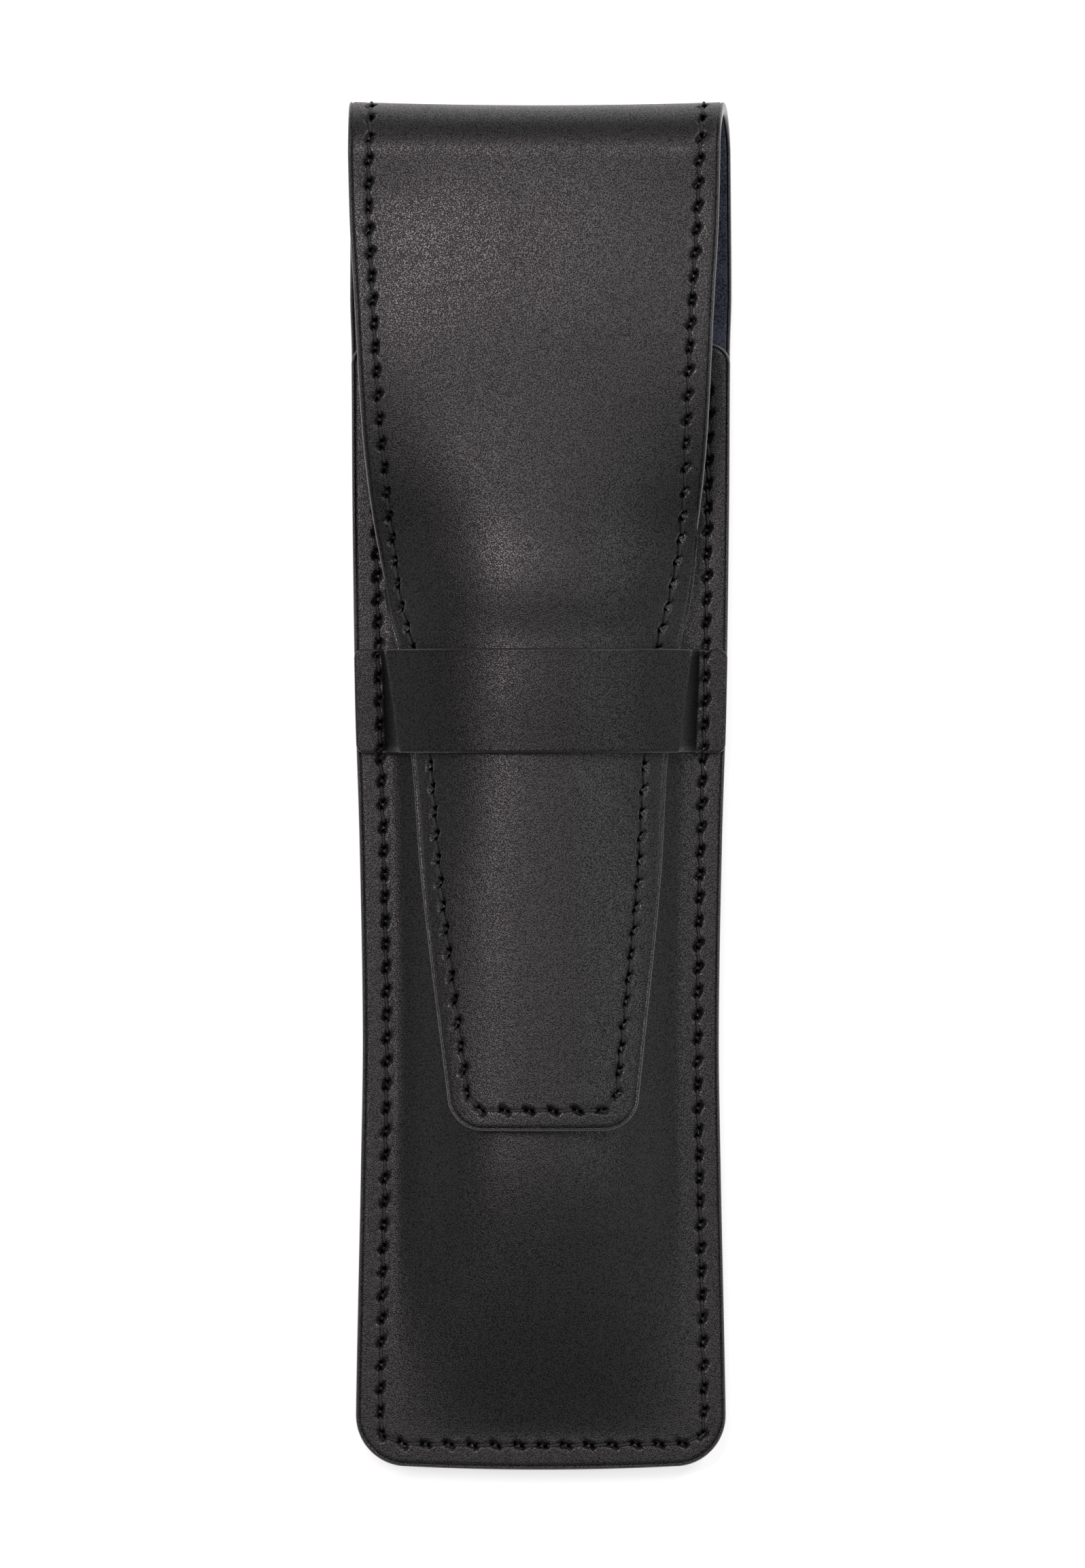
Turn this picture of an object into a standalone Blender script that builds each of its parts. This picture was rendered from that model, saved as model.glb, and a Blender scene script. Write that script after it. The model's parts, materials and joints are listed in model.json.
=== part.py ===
"""A leather pen case: a sewn pocket whose back folds over the top as a long tongued flap.

Lengths are in metres and +Z is up. The case lies on its back: X runs across it, +Y points to
the folded end and +Z is its front. The origin is on the table, under the middle of the case.
"""
import math

import bmesh
import bpy
from mathutils import Vector
from mathutils.bvhtree import BVHTree

# Overall sizes
CASE_LENGTH = 0.1604
CASE_WIDTH = 0.0446
CORNER_RADIUS = 0.0060
BOTTOM_BOW = 0.0004
# Share of the length from the fold, and the width there as a share of CASE_WIDTH
BODY_OUTLINE_SHARES = (
    (0.0, 1.0),
    (0.14, 1.006),
    (0.18, 0.998),
    (0.3, 0.992),
    (0.44, 0.977),
    (0.54, 0.955),
    (0.68, 0.938),
    (0.78, 0.948),
    (0.95, 0.973),
    (1.0, 0.974),
)

# Sheets of leather and lining
LEATHER = 0.0009
LINING = 0.0004
GLUE_GAP = 0.0002
STACK = LEATHER + GLUE_GAP + LINING
SEAM_GAP = 0.0003

# Pocket
MOUTH_DROP = 0.0282
MOUTH_CORNER_RADIUS = 0.0024
SEAM_MARGIN = 0.0040
POCKET_RISE = 0.0073
BACK_RISE = 0.0025
CLOSING_LENGTH = 0.034
SIDE_POWER = 2.6
SIDE_FADE_POWER = 1.5
END_POWER = 2.2
END_FADE_POWER = 1.4
FLAT_BACK_SHARE = 0.6

# Fold over the top
FOLD_LIFT = 0.0012
FOLD_SAG = 0.0010
FOLD_DIP = 0.0004
FOLD_CUT_GAP = 0.0005
FIRST_CUT_DEG = 45.0
SECOND_CUT_DEG = 135.0

# Flap
FLAP_REACH = 0.1203
FLAP_WIDTH = 0.0436
FLAP_GAP = 0.00055
TIP_CORNER_RADIUS = 0.0040
# Share of the flap's reach, and how closely it follows the pocket's sides there
HUG_SHARES = (
    (0.0, 0.0),
    (0.05, 0.0),
    (0.1, 0.05),
    (0.2, 0.07),
    (0.28, 0.12),
    (0.36, 0.4),
    (0.43, 0.75),
    (0.5, 1.0),
    (0.64, 1.0),
    (0.78, 0.72),
    (1.0, 0.55),
)
# Share of the flap's reach from the fold, and its inside's width as a share of FLAP_WIDTH
FLAP_OUTLINE_SHARES = (
    (0.0, 1.0),
    (0.12, 0.986),
    (0.19, 0.963),
    (0.325, 0.922),
    (0.39, 0.884),
    (0.44, 0.843),
    (0.49, 0.79),
    (0.53, 0.733),
    (0.64, 0.654),
    (0.76, 0.613),
    (0.96, 0.497),
    (1.0, 0.475),
)
FLAP_SHIFT = 0.0008
# Share of the flap's reach, and its middle line's offset as a share of FLAP_SHIFT
FLAP_SHIFT_SHARES = ((0.0, -1.0), (0.33, -0.85), (0.6, -0.25), (1.0, 0.4))

# Strap
STRAP_DROP = 0.0641
STRAP_WIDTH = 0.0122
STRAP_LEATHER = 0.0010
STRAP_CORNER_RADIUS = 0.0010
TUNNEL_GAP = 0.00065
TUNNEL_SIDE_GAP = 0.0002

# Sewing
STITCH_PITCH = 0.00275
BODY_STITCH_INSET = 0.0027
BODY_STITCH_LEAN = 0.00015
FLAP_STITCH_INSET = 0.0024
FLAP_STITCH_LEAN = 0.0004
# Share of the flap's reach, and how far right its stitch line leans as a share of FLAP_STITCH_LEAN
FLAP_LEAN_SHARES = (
    (0.0, 0.3),
    (0.15, -0.5),
    (0.32, -0.6),
    (0.42, 0.0),
    (0.5, -0.9),
    (0.65, -0.6),
    (1.0, -0.4),
)
THREAD_DIAMETER = 0.00042
BOBBIN_DIAMETER = 0.00028
THREAD_GAP = 0.0001
THREAD_EDGE_GAP = 0.00045
THREAD_CUT_GAP = 0.00065
HOLE_SHARE = 0.6

# How finely the sheets are divided
INNER_COLUMN_SHARES = (0.0, 0.29, 0.54, 0.74, 0.89, 1.0)
FLAP_COLUMN_SHARES = (0.0, 0.26, 0.5, 0.7, 0.87, 1.0)
STRAP_COLUMN_SHARES = (0.0, 0.4, 0.66, 0.86)
LONG_ROW = 0.022
CLOSING_ROW = 0.007
FLAP_ROW = 0.0095
CORNER_STEPS = 3
ARC_STEPS = 4
FOLD_STEPS = 8
TURN_STEPS = 8
PATH_STEP = 0.0012
SLOPE_STEP = 0.00002
CAST_REACH = 0.0030

# Finishes: a name, a linear colour and a roughness
LEATHER_FINISH = ("black_leather", (0.028, 0.027, 0.028), 0.48)
SUEDE_FINISH = ("navy_suede", (0.018, 0.021, 0.045), 0.95)
THREAD_FINISH = ("black_thread", (0.012, 0.012, 0.013), 0.7)

# Places along the case
FOLD_TOP = CASE_LENGTH / 2
BOTTOM = -CASE_LENGTH / 2
MOUTH = FOLD_TOP - MOUTH_DROP
STRAP_TOP = FOLD_TOP - STRAP_DROP
STRAP_BOTTOM = STRAP_TOP - STRAP_WIDTH
FLAP_TIP = FOLD_TOP - FLAP_REACH

# Heights above the table
SEAM_TOP = BACK_RISE + STACK + SEAM_GAP + STACK
CROWN = SEAM_TOP + POCKET_RISE
FLAP_CROWN = CROWN + FLAP_GAP + STACK
FOLD_RADIUS = (FLAP_CROWN - FOLD_SAG - FOLD_LIFT) / 2
FOLD_CENTRE_Z = FOLD_LIFT + FOLD_RADIUS
FOLD_INSIDE_TOP = FOLD_LIFT + 2 * FOLD_RADIUS - STACK
ROLL_START = FOLD_TOP - FOLD_RADIUS
ROLL_ARC = math.pi * FOLD_RADIUS


def clamp(value):
    """Keep a share between 0 and 1."""
    return min(1.0, max(0.0, value))


def smooth(share):
    """Ease a share in and out, so that what it blends has no kink at either end."""
    share = clamp(share)
    return share * share * (3 - 2 * share)


def mix(start, end, share):
    """Blend two values by a share."""
    return start + (end - start) * share


def read_shares(table, place):
    """Read a table of (place, value) shares on a smooth curve through its points."""
    place = min(max(place, table[0][0]), table[-1][0])
    last = len(table) - 1
    index = 0
    while index < last - 1 and place > table[index + 1][0]:
        index += 1
    slopes = []
    for point in (index, index + 1):
        before = table[max(point - 1, 0)]
        after = table[min(point + 1, last)]
        slopes.append((after[1] - before[1]) / (after[0] - before[0]))
    (x0, y0), (x1, y1) = table[index], table[index + 1]
    width = x1 - x0
    t = (place - x0) / width
    value = y0 * (2 * t**3 - 3 * t**2 + 1) + y1 * (3 * t**2 - 2 * t**3)
    value += slopes[0] * width * (t**3 - 2 * t**2 + t)
    value += slopes[1] * width * (t**3 - t**2)
    return value


def straight_half_width(y):
    """Half the case's width at a place along it, before its corners are rounded."""
    share = read_shares(BODY_OUTLINE_SHARES, (FOLD_TOP - y) / CASE_LENGTH)
    return share * CASE_WIDTH / 2


def round_off(half_width, depth, radius):
    """Narrow a half width near an end, where depth is how far the end's edge is."""
    if depth >= radius:
        return half_width
    into = radius - max(depth, 0.0)
    return half_width - radius + math.sqrt(max(radius**2 - into**2, 0.0))


def body_half_width(y):
    """Half the case's width, with its two rounded corners at the bottom."""
    return round_off(straight_half_width(y), y - BOTTOM - BOTTOM_BOW, CORNER_RADIUS)


def flap_straight_half_width(y):
    """Half the flap's width at a place along it, before its tip's corners are rounded."""
    share = read_shares(FLAP_OUTLINE_SHARES, (FOLD_TOP - y) / FLAP_REACH)
    return share * FLAP_WIDTH / 2


def flap_half_width(y):
    """Half the flap's width, with the two rounded corners of its tip."""
    return round_off(flap_straight_half_width(y), y - FLAP_TIP, TIP_CORNER_RADIUS)


def flap_middle(y):
    """The flap's middle line, which the hand fold leaves a little to one side."""
    return FLAP_SHIFT * read_shares(FLAP_SHIFT_SHARES, (FOLD_TOP - y) / FLAP_REACH)


def sheet_half_width(path):
    """Half the width of the one back, fold and flap sheet at a place along it."""
    if path <= 0:
        return body_half_width(ROLL_START + path)
    if path >= ROLL_ARC:
        return flap_half_width(ROLL_START + ROLL_ARC - path)
    start = straight_half_width(ROLL_START)
    return mix(start, flap_half_width(ROLL_START), smooth(path / ROLL_ARC))


def sheet_middle(path):
    """The sheet's middle line, straight on the back and a little to one side on the flap."""
    if path >= ROLL_ARC:
        return flap_middle(ROLL_START + ROLL_ARC - path)
    return mix(0.0, flap_middle(ROLL_START), smooth(path / ROLL_ARC))


def bulge(x, y):
    """How full the pocket is: 1 over the pens, 0 on the sewn margin."""
    inner = body_half_width(y) - SEAM_MARGIN
    side = clamp(abs(x) / inner)
    across = (1 - side**SIDE_POWER) ** SIDE_FADE_POWER
    end = clamp((y - BOTTOM - SEAM_MARGIN) / CLOSING_LENGTH)
    along = (1 - (1 - end) ** END_POWER) ** END_FADE_POWER
    return across * along


def front_height(x, y):
    """Height of the front leather's outside."""
    return SEAM_TOP + POCKET_RISE * bulge(x, y)


def back_height(x, y):
    """Height of the back leather's outside, flat on the table under the pens."""
    pocket = BACK_RISE * (1 - smooth(bulge(x, y) / FLAT_BACK_SHARE))
    return mix(pocket, FOLD_LIFT, smooth((y - MOUTH) / (ROLL_START - MOUTH)))


def slopes_of(height, x, y):
    """Slopes of a height function across and along the case."""
    across = (height(x + SLOPE_STEP, y) - height(x - SLOPE_STEP, y)) / (2 * SLOPE_STEP)
    along = (height(x, y + SLOPE_STEP) - height(x, y - SLOPE_STEP)) / (2 * SLOPE_STEP)
    return across, along


def upward_normal(height, x, y):
    """Unit normal of a height function, pointing up."""
    across, along = slopes_of(height, x, y)
    return Vector((-across, -along, 1.0)).normalized()


def flap_inside_height(x, y):
    """Height of the flap lining's inside: level at the fold, close to the pocket at the strap."""
    crest = mix(FOLD_INSIDE_TOP, CROWN + FLAP_GAP, smooth((ROLL_START - y) / (ROLL_START - MOUTH)))
    hug = clamp(read_shares(HUG_SHARES, (FOLD_TOP - y) / FLAP_REACH))
    steepness = 1 / upward_normal(front_height, x, y).z
    return crest - hug * (CROWN - front_height(x, y)) + hug * FLAP_GAP * (steepness - 1)


def roll_frame(path):
    """Point on the fold's outside at the case's edge, and the outward normal there."""
    angle = path / FOLD_RADIUS
    outward = Vector((0.0, math.sin(angle), -math.cos(angle)))
    return Vector((0.0, ROLL_START, FOLD_CENTRE_Z)) + outward * FOLD_RADIUS, outward


def sheet_frame(x, path):
    """Point on the outside of the back, fold and flap sheet, and the outward normal there."""
    if path <= 0:
        y = ROLL_START + path
        return Vector((x, y, back_height(x, y))), -upward_normal(back_height, x, y)
    if path < ROLL_ARC:
        point, outward = roll_frame(path)
        dip = FOLD_DIP * outward.y * (1 - (2 * x / CASE_WIDTH) ** 2)
        return point + Vector((x, -dip, 0.0)), outward
    y = ROLL_START + ROLL_ARC - path
    outward = upward_normal(flap_inside_height, x, y)
    return Vector((x, y, flap_inside_height(x, y))) + outward * STACK, outward


def front_frame(x, y):
    """Point on the outside of the front leather, and the outward normal there."""
    return Vector((x, y, front_height(x, y))), upward_normal(front_height, x, y)


def spaced(start, end, step):
    """Even places from start to end, about a step apart."""
    count = max(1, round(abs(end - start) / step))
    return [mix(start, end, index / count) for index in range(count + 1)]


def corner_places(edge, radius, direction):
    """Places on a rounded corner, from where it starts to the edge it ends on."""
    turns = [math.pi / 2 * index / CORNER_STEPS for index in range(CORNER_STEPS + 1)]
    return [edge - direction * radius * (1 - math.sin(turn)) for turn in turns]


def join_places(*runs):
    """Join runs of places that share their end places."""
    places = list(runs[0])
    for run in runs[1:]:
        places.extend(run[1:])
    return places


def bottom_rows():
    """Rows from above the pocket's closing end down to the bottom edge."""
    corner_start = BOTTOM + BOTTOM_BOW + CORNER_RADIUS
    closing_top = BOTTOM + SEAM_MARGIN + CLOSING_LENGTH
    closing = spaced(closing_top, corner_start, CLOSING_ROW)
    return join_places(closing, corner_places(BOTTOM + BOTTOM_BOW, CORNER_RADIUS, -1))


def front_rows():
    """Rows of the front sheets, from the bottom edge to the mouth."""
    corner = corner_places(MOUTH, MOUTH_CORNER_RADIUS, 1)
    bottom = bottom_rows()
    long_run = spaced(bottom[0], corner[0], LONG_ROW)
    return join_places(bottom[::-1], long_run, corner)


def back_paths():
    """Rows of the back sheets along the path, from the bottom edge to the fold's first cut."""
    bottom = bottom_rows()
    long_run = spaced(bottom[0], MOUTH, LONG_ROW)
    neck = spaced(MOUTH, ROLL_START, CLOSING_ROW)
    flat = [y - ROLL_START for y in join_places(bottom[::-1], long_run, neck)]
    cut = math.radians(FIRST_CUT_DEG) * FOLD_RADIUS - FOLD_CUT_GAP / 2
    arc = [mix(0.0, cut, step / ARC_STEPS) for step in range(ARC_STEPS + 1)]
    return join_places(flat, arc)


def fold_paths():
    """Rows of the fold's middle piece, from its first cut to its second."""
    start = math.radians(FIRST_CUT_DEG) * FOLD_RADIUS + FOLD_CUT_GAP / 2
    end = math.radians(SECOND_CUT_DEG) * FOLD_RADIUS - FOLD_CUT_GAP / 2
    return [mix(start, end, step / FOLD_STEPS) for step in range(FOLD_STEPS + 1)]


def flap_paths():
    """Rows of the flap along the path, from the fold's second cut to the tip."""
    cut = math.radians(SECOND_CUT_DEG) * FOLD_RADIUS + FOLD_CUT_GAP / 2
    arc = [mix(cut, ROLL_ARC, step / ARC_STEPS) for step in range(ARC_STEPS + 1)]
    corner = corner_places(FLAP_TIP, TIP_CORNER_RADIUS, -1)
    run = spaced(ROLL_START, corner[0], FLAP_ROW)
    flat = [ROLL_START + ROLL_ARC - y for y in join_places(run, corner)]
    return join_places(arc, flat)


def mirrored(half):
    """Places on both sides of the middle, from a list that runs from the middle outwards."""
    return [-place for place in half[:0:-1]] + list(half)


def body_columns(half_width, edge=None):
    """Places across the case: over the pens, on the stitch line and on the edge."""
    inner = half_width - SEAM_MARGIN
    half = [share * inner for share in INNER_COLUMN_SHARES]
    return mirrored(half + [half_width - BODY_STITCH_INSET, edge or half_width])


def flap_columns(half_width):
    """Places across the flap: shares of its width, its stitch line and its edge."""
    half = [share * (half_width - FLAP_STITCH_INSET) for share in FLAP_COLUMN_SHARES]
    return mirrored(half + [half_width])


def bowed(x, y):
    """Move a place near the bottom edge onto the edge's slight outward bow."""
    near = clamp((BOTTOM + BOTTOM_BOW + CORNER_RADIUS - y) / CORNER_RADIUS)
    reach = straight_half_width(y) - CORNER_RADIUS
    return y - BOTTOM_BOW * near * (1 - clamp(abs(x) / reach) ** 2)


def front_points(offset):
    """Grid of points on a front layer's outside, offset metres under the leather's outside."""
    grid = []
    for y in front_rows():
        half = body_half_width(y)
        edge = round_off(half, MOUTH - y, MOUTH_CORNER_RADIUS)
        row = []
        for x in body_columns(half, edge):
            point, outward = front_frame(x, bowed(x, y))
            row.append(point - outward * offset)
        grid.append(row)
    return grid


def sheet_points(paths, columns, offset):
    """Grid of points on a layer of the back, fold and flap sheet, offset inwards."""
    grid = []
    for path in paths:
        row = []
        for x in columns(sheet_half_width(path)):
            place = path
            if path < 0:
                place = bowed(x, ROLL_START + path) - ROLL_START
            point, outward = sheet_frame(x + sheet_middle(path), place)
            row.append(point - outward * offset)
        grid.append(row)
    return grid


def strap_half_section(y, half_width, side):
    """The strap's inside on one side, from over the pens down to its sewn end."""
    middle = flap_middle(y)
    tongue_edge = flap_half_width(y) + side * middle
    path = ROLL_START + ROLL_ARC - y
    points = []
    for share in STRAP_COLUMN_SHARES + (1.0,):
        point, outward = sheet_frame(side * share * tongue_edge, path)
        clear = point + outward * TUNNEL_GAP
        clear.y = y
        points.append(clear)
    points[-1].x += side * TUNNEL_SIDE_GAP
    foot = body_half_width(y) - SEAM_MARGIN
    points.append(Vector((side * foot, y, SEAM_TOP + SEAM_GAP)))
    points.append(Vector((side * half_width, y, SEAM_TOP + SEAM_GAP)))
    return points


def strap_points():
    """Grid of points on the strap's inside, from its lower edge to its upper one."""
    lower = corner_places(STRAP_BOTTOM, STRAP_CORNER_RADIUS, -1)
    upper = corner_places(STRAP_TOP, STRAP_CORNER_RADIUS, 1)
    grid = []
    for y in join_places(lower[::-1], [lower[0], upper[0]], upper):
        depth = min(y - STRAP_BOTTOM, STRAP_TOP - y)
        half = round_off(body_half_width(y), depth, STRAP_CORNER_RADIUS)
        left = strap_half_section(y, half, -1)
        right = strap_half_section(y, half, 1)
        grid.append(left[:0:-1] + right)
    return grid


def make_material(name, colour, roughness):
    """A plain finish: black leather, navy suede or black thread."""
    material = bpy.data.materials.new(name)
    material.use_nodes = True
    shader = material.node_tree.nodes["Principled BSDF"]
    shader.inputs["Base Color"].default_value = (*colour, 1.0)
    shader.inputs["Roughness"].default_value = roughness
    shader.inputs["Metallic"].default_value = 0.0
    return material


def make_sheet(name, grid, thickness, inward, material, collection):
    """A sheet from its outside's grid of points, given its thickness by Solidify."""
    rows = len(grid)
    columns = len(grid[0])
    mesh = bpy.data.meshes.new(name)
    shape = bmesh.new()
    bmesh.ops.create_grid(shape, x_segments=columns - 1, y_segments=rows - 1, size=1.0)
    for vertex in shape.verts:
        column = round((vertex.co.x + 1) / 2 * (columns - 1))
        row = round((vertex.co.y + 1) / 2 * (rows - 1))
        vertex.co = grid[row][column]
    bmesh.ops.triangulate(shape, faces=shape.faces, quad_method="FIXED")
    if inward < 0:
        bmesh.ops.reverse_faces(shape, faces=shape.faces)
    shape.to_mesh(mesh)
    shape.free()
    mesh.materials.append(material)
    mesh.shade_smooth()
    sheet = bpy.data.objects.new(name, mesh)
    collection.objects.link(sheet)
    solidify = sheet.modifiers.new("thickness", "SOLIDIFY")
    solidify.thickness = thickness
    solidify.offset = -1.0 if inward else 1.0
    solidify.use_even_offset = not inward
    solidify.use_quality_normals = True
    return sheet


def surface_of(sheet):
    """The finished surface of a sheet, for laying thread on it."""
    bpy.context.view_layer.update()
    return BVHTree.FromObject(sheet, bpy.context.evaluated_depsgraph_get())


def lay_on(surface, point, outward, radius):
    """Centre of a thread of this radius that lies on a surface under a point."""
    start = point + outward * CAST_REACH
    hit, normal, _, _ = surface.ray_cast(start, -outward)
    if normal.dot(outward) < 0:
        normal = -normal
    return hit + normal * (THREAD_GAP + radius)


def even_places(places, pitch):
    """Places at each hole and at the middle of each stitch along a line of places."""
    lengths = [0.0]
    for before, after in zip(places, places[1:]):
        lengths.append(lengths[-1] + math.dist(before, after))
    count = 2 * max(1, round(lengths[-1] / pitch))
    result = []
    index = 0
    for step in range(count + 1):
        wanted = lengths[-1] * step / count
        while index < len(lengths) - 2 and wanted > lengths[index + 1]:
            index += 1
        share = (wanted - lengths[index]) / (lengths[index + 1] - lengths[index])
        before, after = places[index], places[index + 1]
        result.append((mix(before[0], after[0], share), mix(before[1], after[1], share)))
    return result


def sewn_run(places, frame_at, surface, diameter, side=1):
    """One row of stitches laid on a surface, as (centre, radius share) pairs."""
    run = []
    for index, (x, along) in enumerate(even_places(places, STITCH_PITCH)):
        share = 1.0 if index % 2 else HOLE_SHARE
        point, outward = frame_at(x, along)
        if side < 0:
            point = point - outward * STACK
        run.append((lay_on(surface, point, side * outward, diameter / 2 * share), share))
    return run


def link_runs(runs):
    """Join rows of stitches into one thread, which climbs straight up at each step."""
    thread = list(runs[0])
    for run in runs[1:]:
        last, first = thread[-1][0], run[0][0]
        low, high = (last, first) if last.z < first.z else (first, last)
        corner = Vector((low.x, low.y, high.z))
        thread.append((corner, HOLE_SHARE))
        thread.extend(run)
    return thread


def make_thread(name, thread, diameter, material, collection):
    """A thread as one unbroken tube, thinner where it goes down each hole."""
    curve = bpy.data.curves.new(name, "CURVE")
    curve.dimensions = "3D"
    curve.bevel_depth = diameter / 2
    curve.bevel_resolution = 0
    curve.use_fill_caps = True
    spline = curve.splines.new("POLY")
    spline.points.add(len(thread) - 1)
    for point, (centre, share) in zip(spline.points, thread):
        point.co = (*centre, 1.0)
        point.radius = share
    curve.materials.append(material)
    tube = bpy.data.objects.new(name, curve)
    collection.objects.link(tube)
    return tube


def side_line(start, end, half_width, middle, inset, side):
    """Places down one side at an inset from the edge."""
    places = []
    for along in spaced(start, end, PATH_STEP):
        places.append((middle(along) + side * (half_width(along) - inset), along))
    return places


def round_line(start, edge, half_width, middle, inset, radius):
    """Places down the left, round the end at an inset from the edge, and up the right."""
    centre = edge + radius
    left = side_line(start, centre, half_width, middle, inset, -1)
    turn = radius - inset
    corner = []
    for step in range(1, TURN_STEPS):
        angle = math.pi / 2 * step / TURN_STEPS
        half = half_width(centre) - radius + turn * math.cos(angle)
        corner.append((half, centre - turn * math.sin(angle)))
    shift = middle(centre)
    left_corner = [(shift - half, along) for half, along in corner]
    right_corner = [(shift + half, along) for half, along in corner[::-1]]
    right = side_line(centre, start, half_width, middle, inset, 1)
    return left + left_corner + right_corner + right


def body_lean(_):
    """The middle of the pocket's stitch line, a little to the right of the pocket's."""
    return BODY_STITCH_LEAN


def flap_lean(y):
    """The middle of the flap's stitch line."""
    share = read_shares(FLAP_LEAN_SHARES, (FOLD_TOP - y) / FLAP_REACH)
    return flap_middle(y) + FLAP_STITCH_LEAN * share


def fold_lean(path):
    """The middle of the stitch line round the fold, from the pocket's to the flap's."""
    return mix(BODY_STITCH_LEAN, flap_lean(ROLL_START), smooth(path / ROLL_ARC))


def body_round_line(start):
    """The pocket's stitch line from one side, round the bottom, to the other."""
    edge = BOTTOM + BOTTOM_BOW
    return round_line(start, edge, straight_half_width, body_lean, BODY_STITCH_INSET, CORNER_RADIUS)


def body_side_line(start, end, side):
    """The pocket's stitch line on one side, between two places along the case."""
    return side_line(start, end, straight_half_width, body_lean, BODY_STITCH_INSET, side)


def inset_on_fold(path):
    """The stitch inset, which narrows from the back's to the flap's round the fold."""
    return mix(BODY_STITCH_INSET, FLAP_STITCH_INSET, smooth(path / ROLL_ARC))


def fold_side_line(start, end, side):
    """The stitch line on one side, round the fold."""
    places = []
    for path in spaced(start, end, PATH_STEP):
        half = sheet_half_width(path) - inset_on_fold(path)
        places.append((fold_lean(path) + side * half, path))
    return places


def make_top_thread(pieces, finish, collection):
    """The needle thread on the front and, past the mouth, on the back's lining."""
    front = surface_of(pieces["front_leather"])
    strap = surface_of(pieces["strap_leather"])
    lining = surface_of(pieces["back_lining"])
    cut = math.radians(FIRST_CUT_DEG) * FOLD_RADIUS - THREAD_CUT_GAP
    runs = {}
    for side in (-1, 1):
        neck = fold_side_line(cut, MOUTH + THREAD_EDGE_GAP - ROLL_START, side)
        shoulder = body_side_line(MOUTH - THREAD_EDGE_GAP, STRAP_TOP + THREAD_EDGE_GAP, side)
        over = body_side_line(STRAP_TOP - THREAD_EDGE_GAP, STRAP_BOTTOM + THREAD_EDGE_GAP, side)
        runs[side] = [
            sewn_run(neck, sheet_frame, lining, THREAD_DIAMETER, -1),
            sewn_run(shoulder, front_frame, front, THREAD_DIAMETER),
            sewn_run(over, front_frame, strap, THREAD_DIAMETER),
        ]
    below = body_round_line(STRAP_BOTTOM - THREAD_EDGE_GAP)
    bottom = sewn_run(below, front_frame, front, THREAD_DIAMETER)
    back_up = [run[::-1] for run in runs[1][::-1]]
    thread = link_runs(runs[-1] + [bottom] + back_up)
    return make_thread("pocket_top_thread", thread, THREAD_DIAMETER, finish, collection)


def make_under_thread(pieces, finish, collection):
    """The bobbin thread on the outside of the back, from cut to cut round the bottom."""
    back = surface_of(pieces["back_leather"])
    cut = math.radians(FIRST_CUT_DEG) * FOLD_RADIUS - THREAD_CUT_GAP
    down = fold_side_line(cut, 0.0, -1)
    round_places = [(x, y - ROLL_START) for x, y in body_round_line(ROLL_START)]
    up = fold_side_line(0.0, cut, 1)
    line = down + round_places[1:-1] + up
    run = sewn_run(line, sheet_frame, back, THREAD_DIAMETER)
    return make_thread("pocket_under_thread", run, THREAD_DIAMETER, finish, collection)


def make_fold_threads(pieces, finish, collection):
    """The two threads on each side of the fold's middle piece, outside and inside."""
    start = math.radians(FIRST_CUT_DEG) * FOLD_RADIUS + THREAD_CUT_GAP
    end = math.radians(SECOND_CUT_DEG) * FOLD_RADIUS - THREAD_CUT_GAP
    threads = {}
    layers = (
        ("outer", "fold_leather", THREAD_DIAMETER, 1),
        ("inner", "fold_lining", BOBBIN_DIAMETER, -1),
    )
    for layer, sheet, diameter, facing in layers:
        surface = surface_of(pieces[sheet])
        for hand, side in (("left", -1), ("right", 1)):
            name = f"fold_{layer}_thread_{hand}"
            line = fold_side_line(start, end, side)
            run = sewn_run(line, sheet_frame, surface, diameter, facing)
            threads[name] = make_thread(name, run, diameter, finish, collection)
    return threads


def flap_line():
    """The flap's stitch line, from the fold round the tip and back."""
    start = math.radians(SECOND_CUT_DEG) * FOLD_RADIUS + THREAD_CUT_GAP
    flat = round_line(
        ROLL_START,
        FLAP_TIP,
        flap_straight_half_width,
        flap_lean,
        FLAP_STITCH_INSET,
        TIP_CORNER_RADIUS,
    )
    flat = [(x, ROLL_START + ROLL_ARC - y) for x, y in flat]
    left = fold_side_line(start, ROLL_ARC, -1)
    right = fold_side_line(ROLL_ARC, start, 1)
    return left + flat[1:-1] + right


def make_flap_threads(pieces, finish, collection):
    """The flap's needle thread on its leather and its bobbin thread on its lining."""
    line = flap_line()
    outer = sewn_run(line, sheet_frame, surface_of(pieces["flap_leather"]), THREAD_DIAMETER)
    inner = sewn_run(line, sheet_frame, surface_of(pieces["flap_lining"]), BOBBIN_DIAMETER, -1)
    return {
        "flap_outer_thread": make_thread(
            "flap_outer_thread", outer, THREAD_DIAMETER, finish, collection
        ),
        "flap_inner_thread": make_thread(
            "flap_inner_thread", inner, BOBBIN_DIAMETER, finish, collection
        ),
    }


def make_layers(prefix, points, inward, finishes, collection):
    """The leather and the lining glued inside it, from one rule for their points."""
    leather = make_sheet(
        f"{prefix}_leather", points(0.0), LEATHER, inward, finishes["leather"], collection
    )
    lining = make_sheet(
        f"{prefix}_lining", points(LEATHER + GLUE_GAP), LINING, inward, finishes["suede"], collection
    )
    return {leather.name: leather, lining.name: lining}


def make_pocket(finishes, collection):
    """The back and front of the pocket and the strap across it."""
    pieces = make_layers(
        "back",
        lambda offset: sheet_points(back_paths(), body_columns, offset),
        -1,
        finishes,
        collection,
    )
    pieces.update(make_layers("front", front_points, 1, finishes, collection))
    pieces["strap_leather"] = make_sheet(
        "strap_leather", strap_points(), STRAP_LEATHER, 0, finishes["leather"], collection
    )
    return pieces


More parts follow.
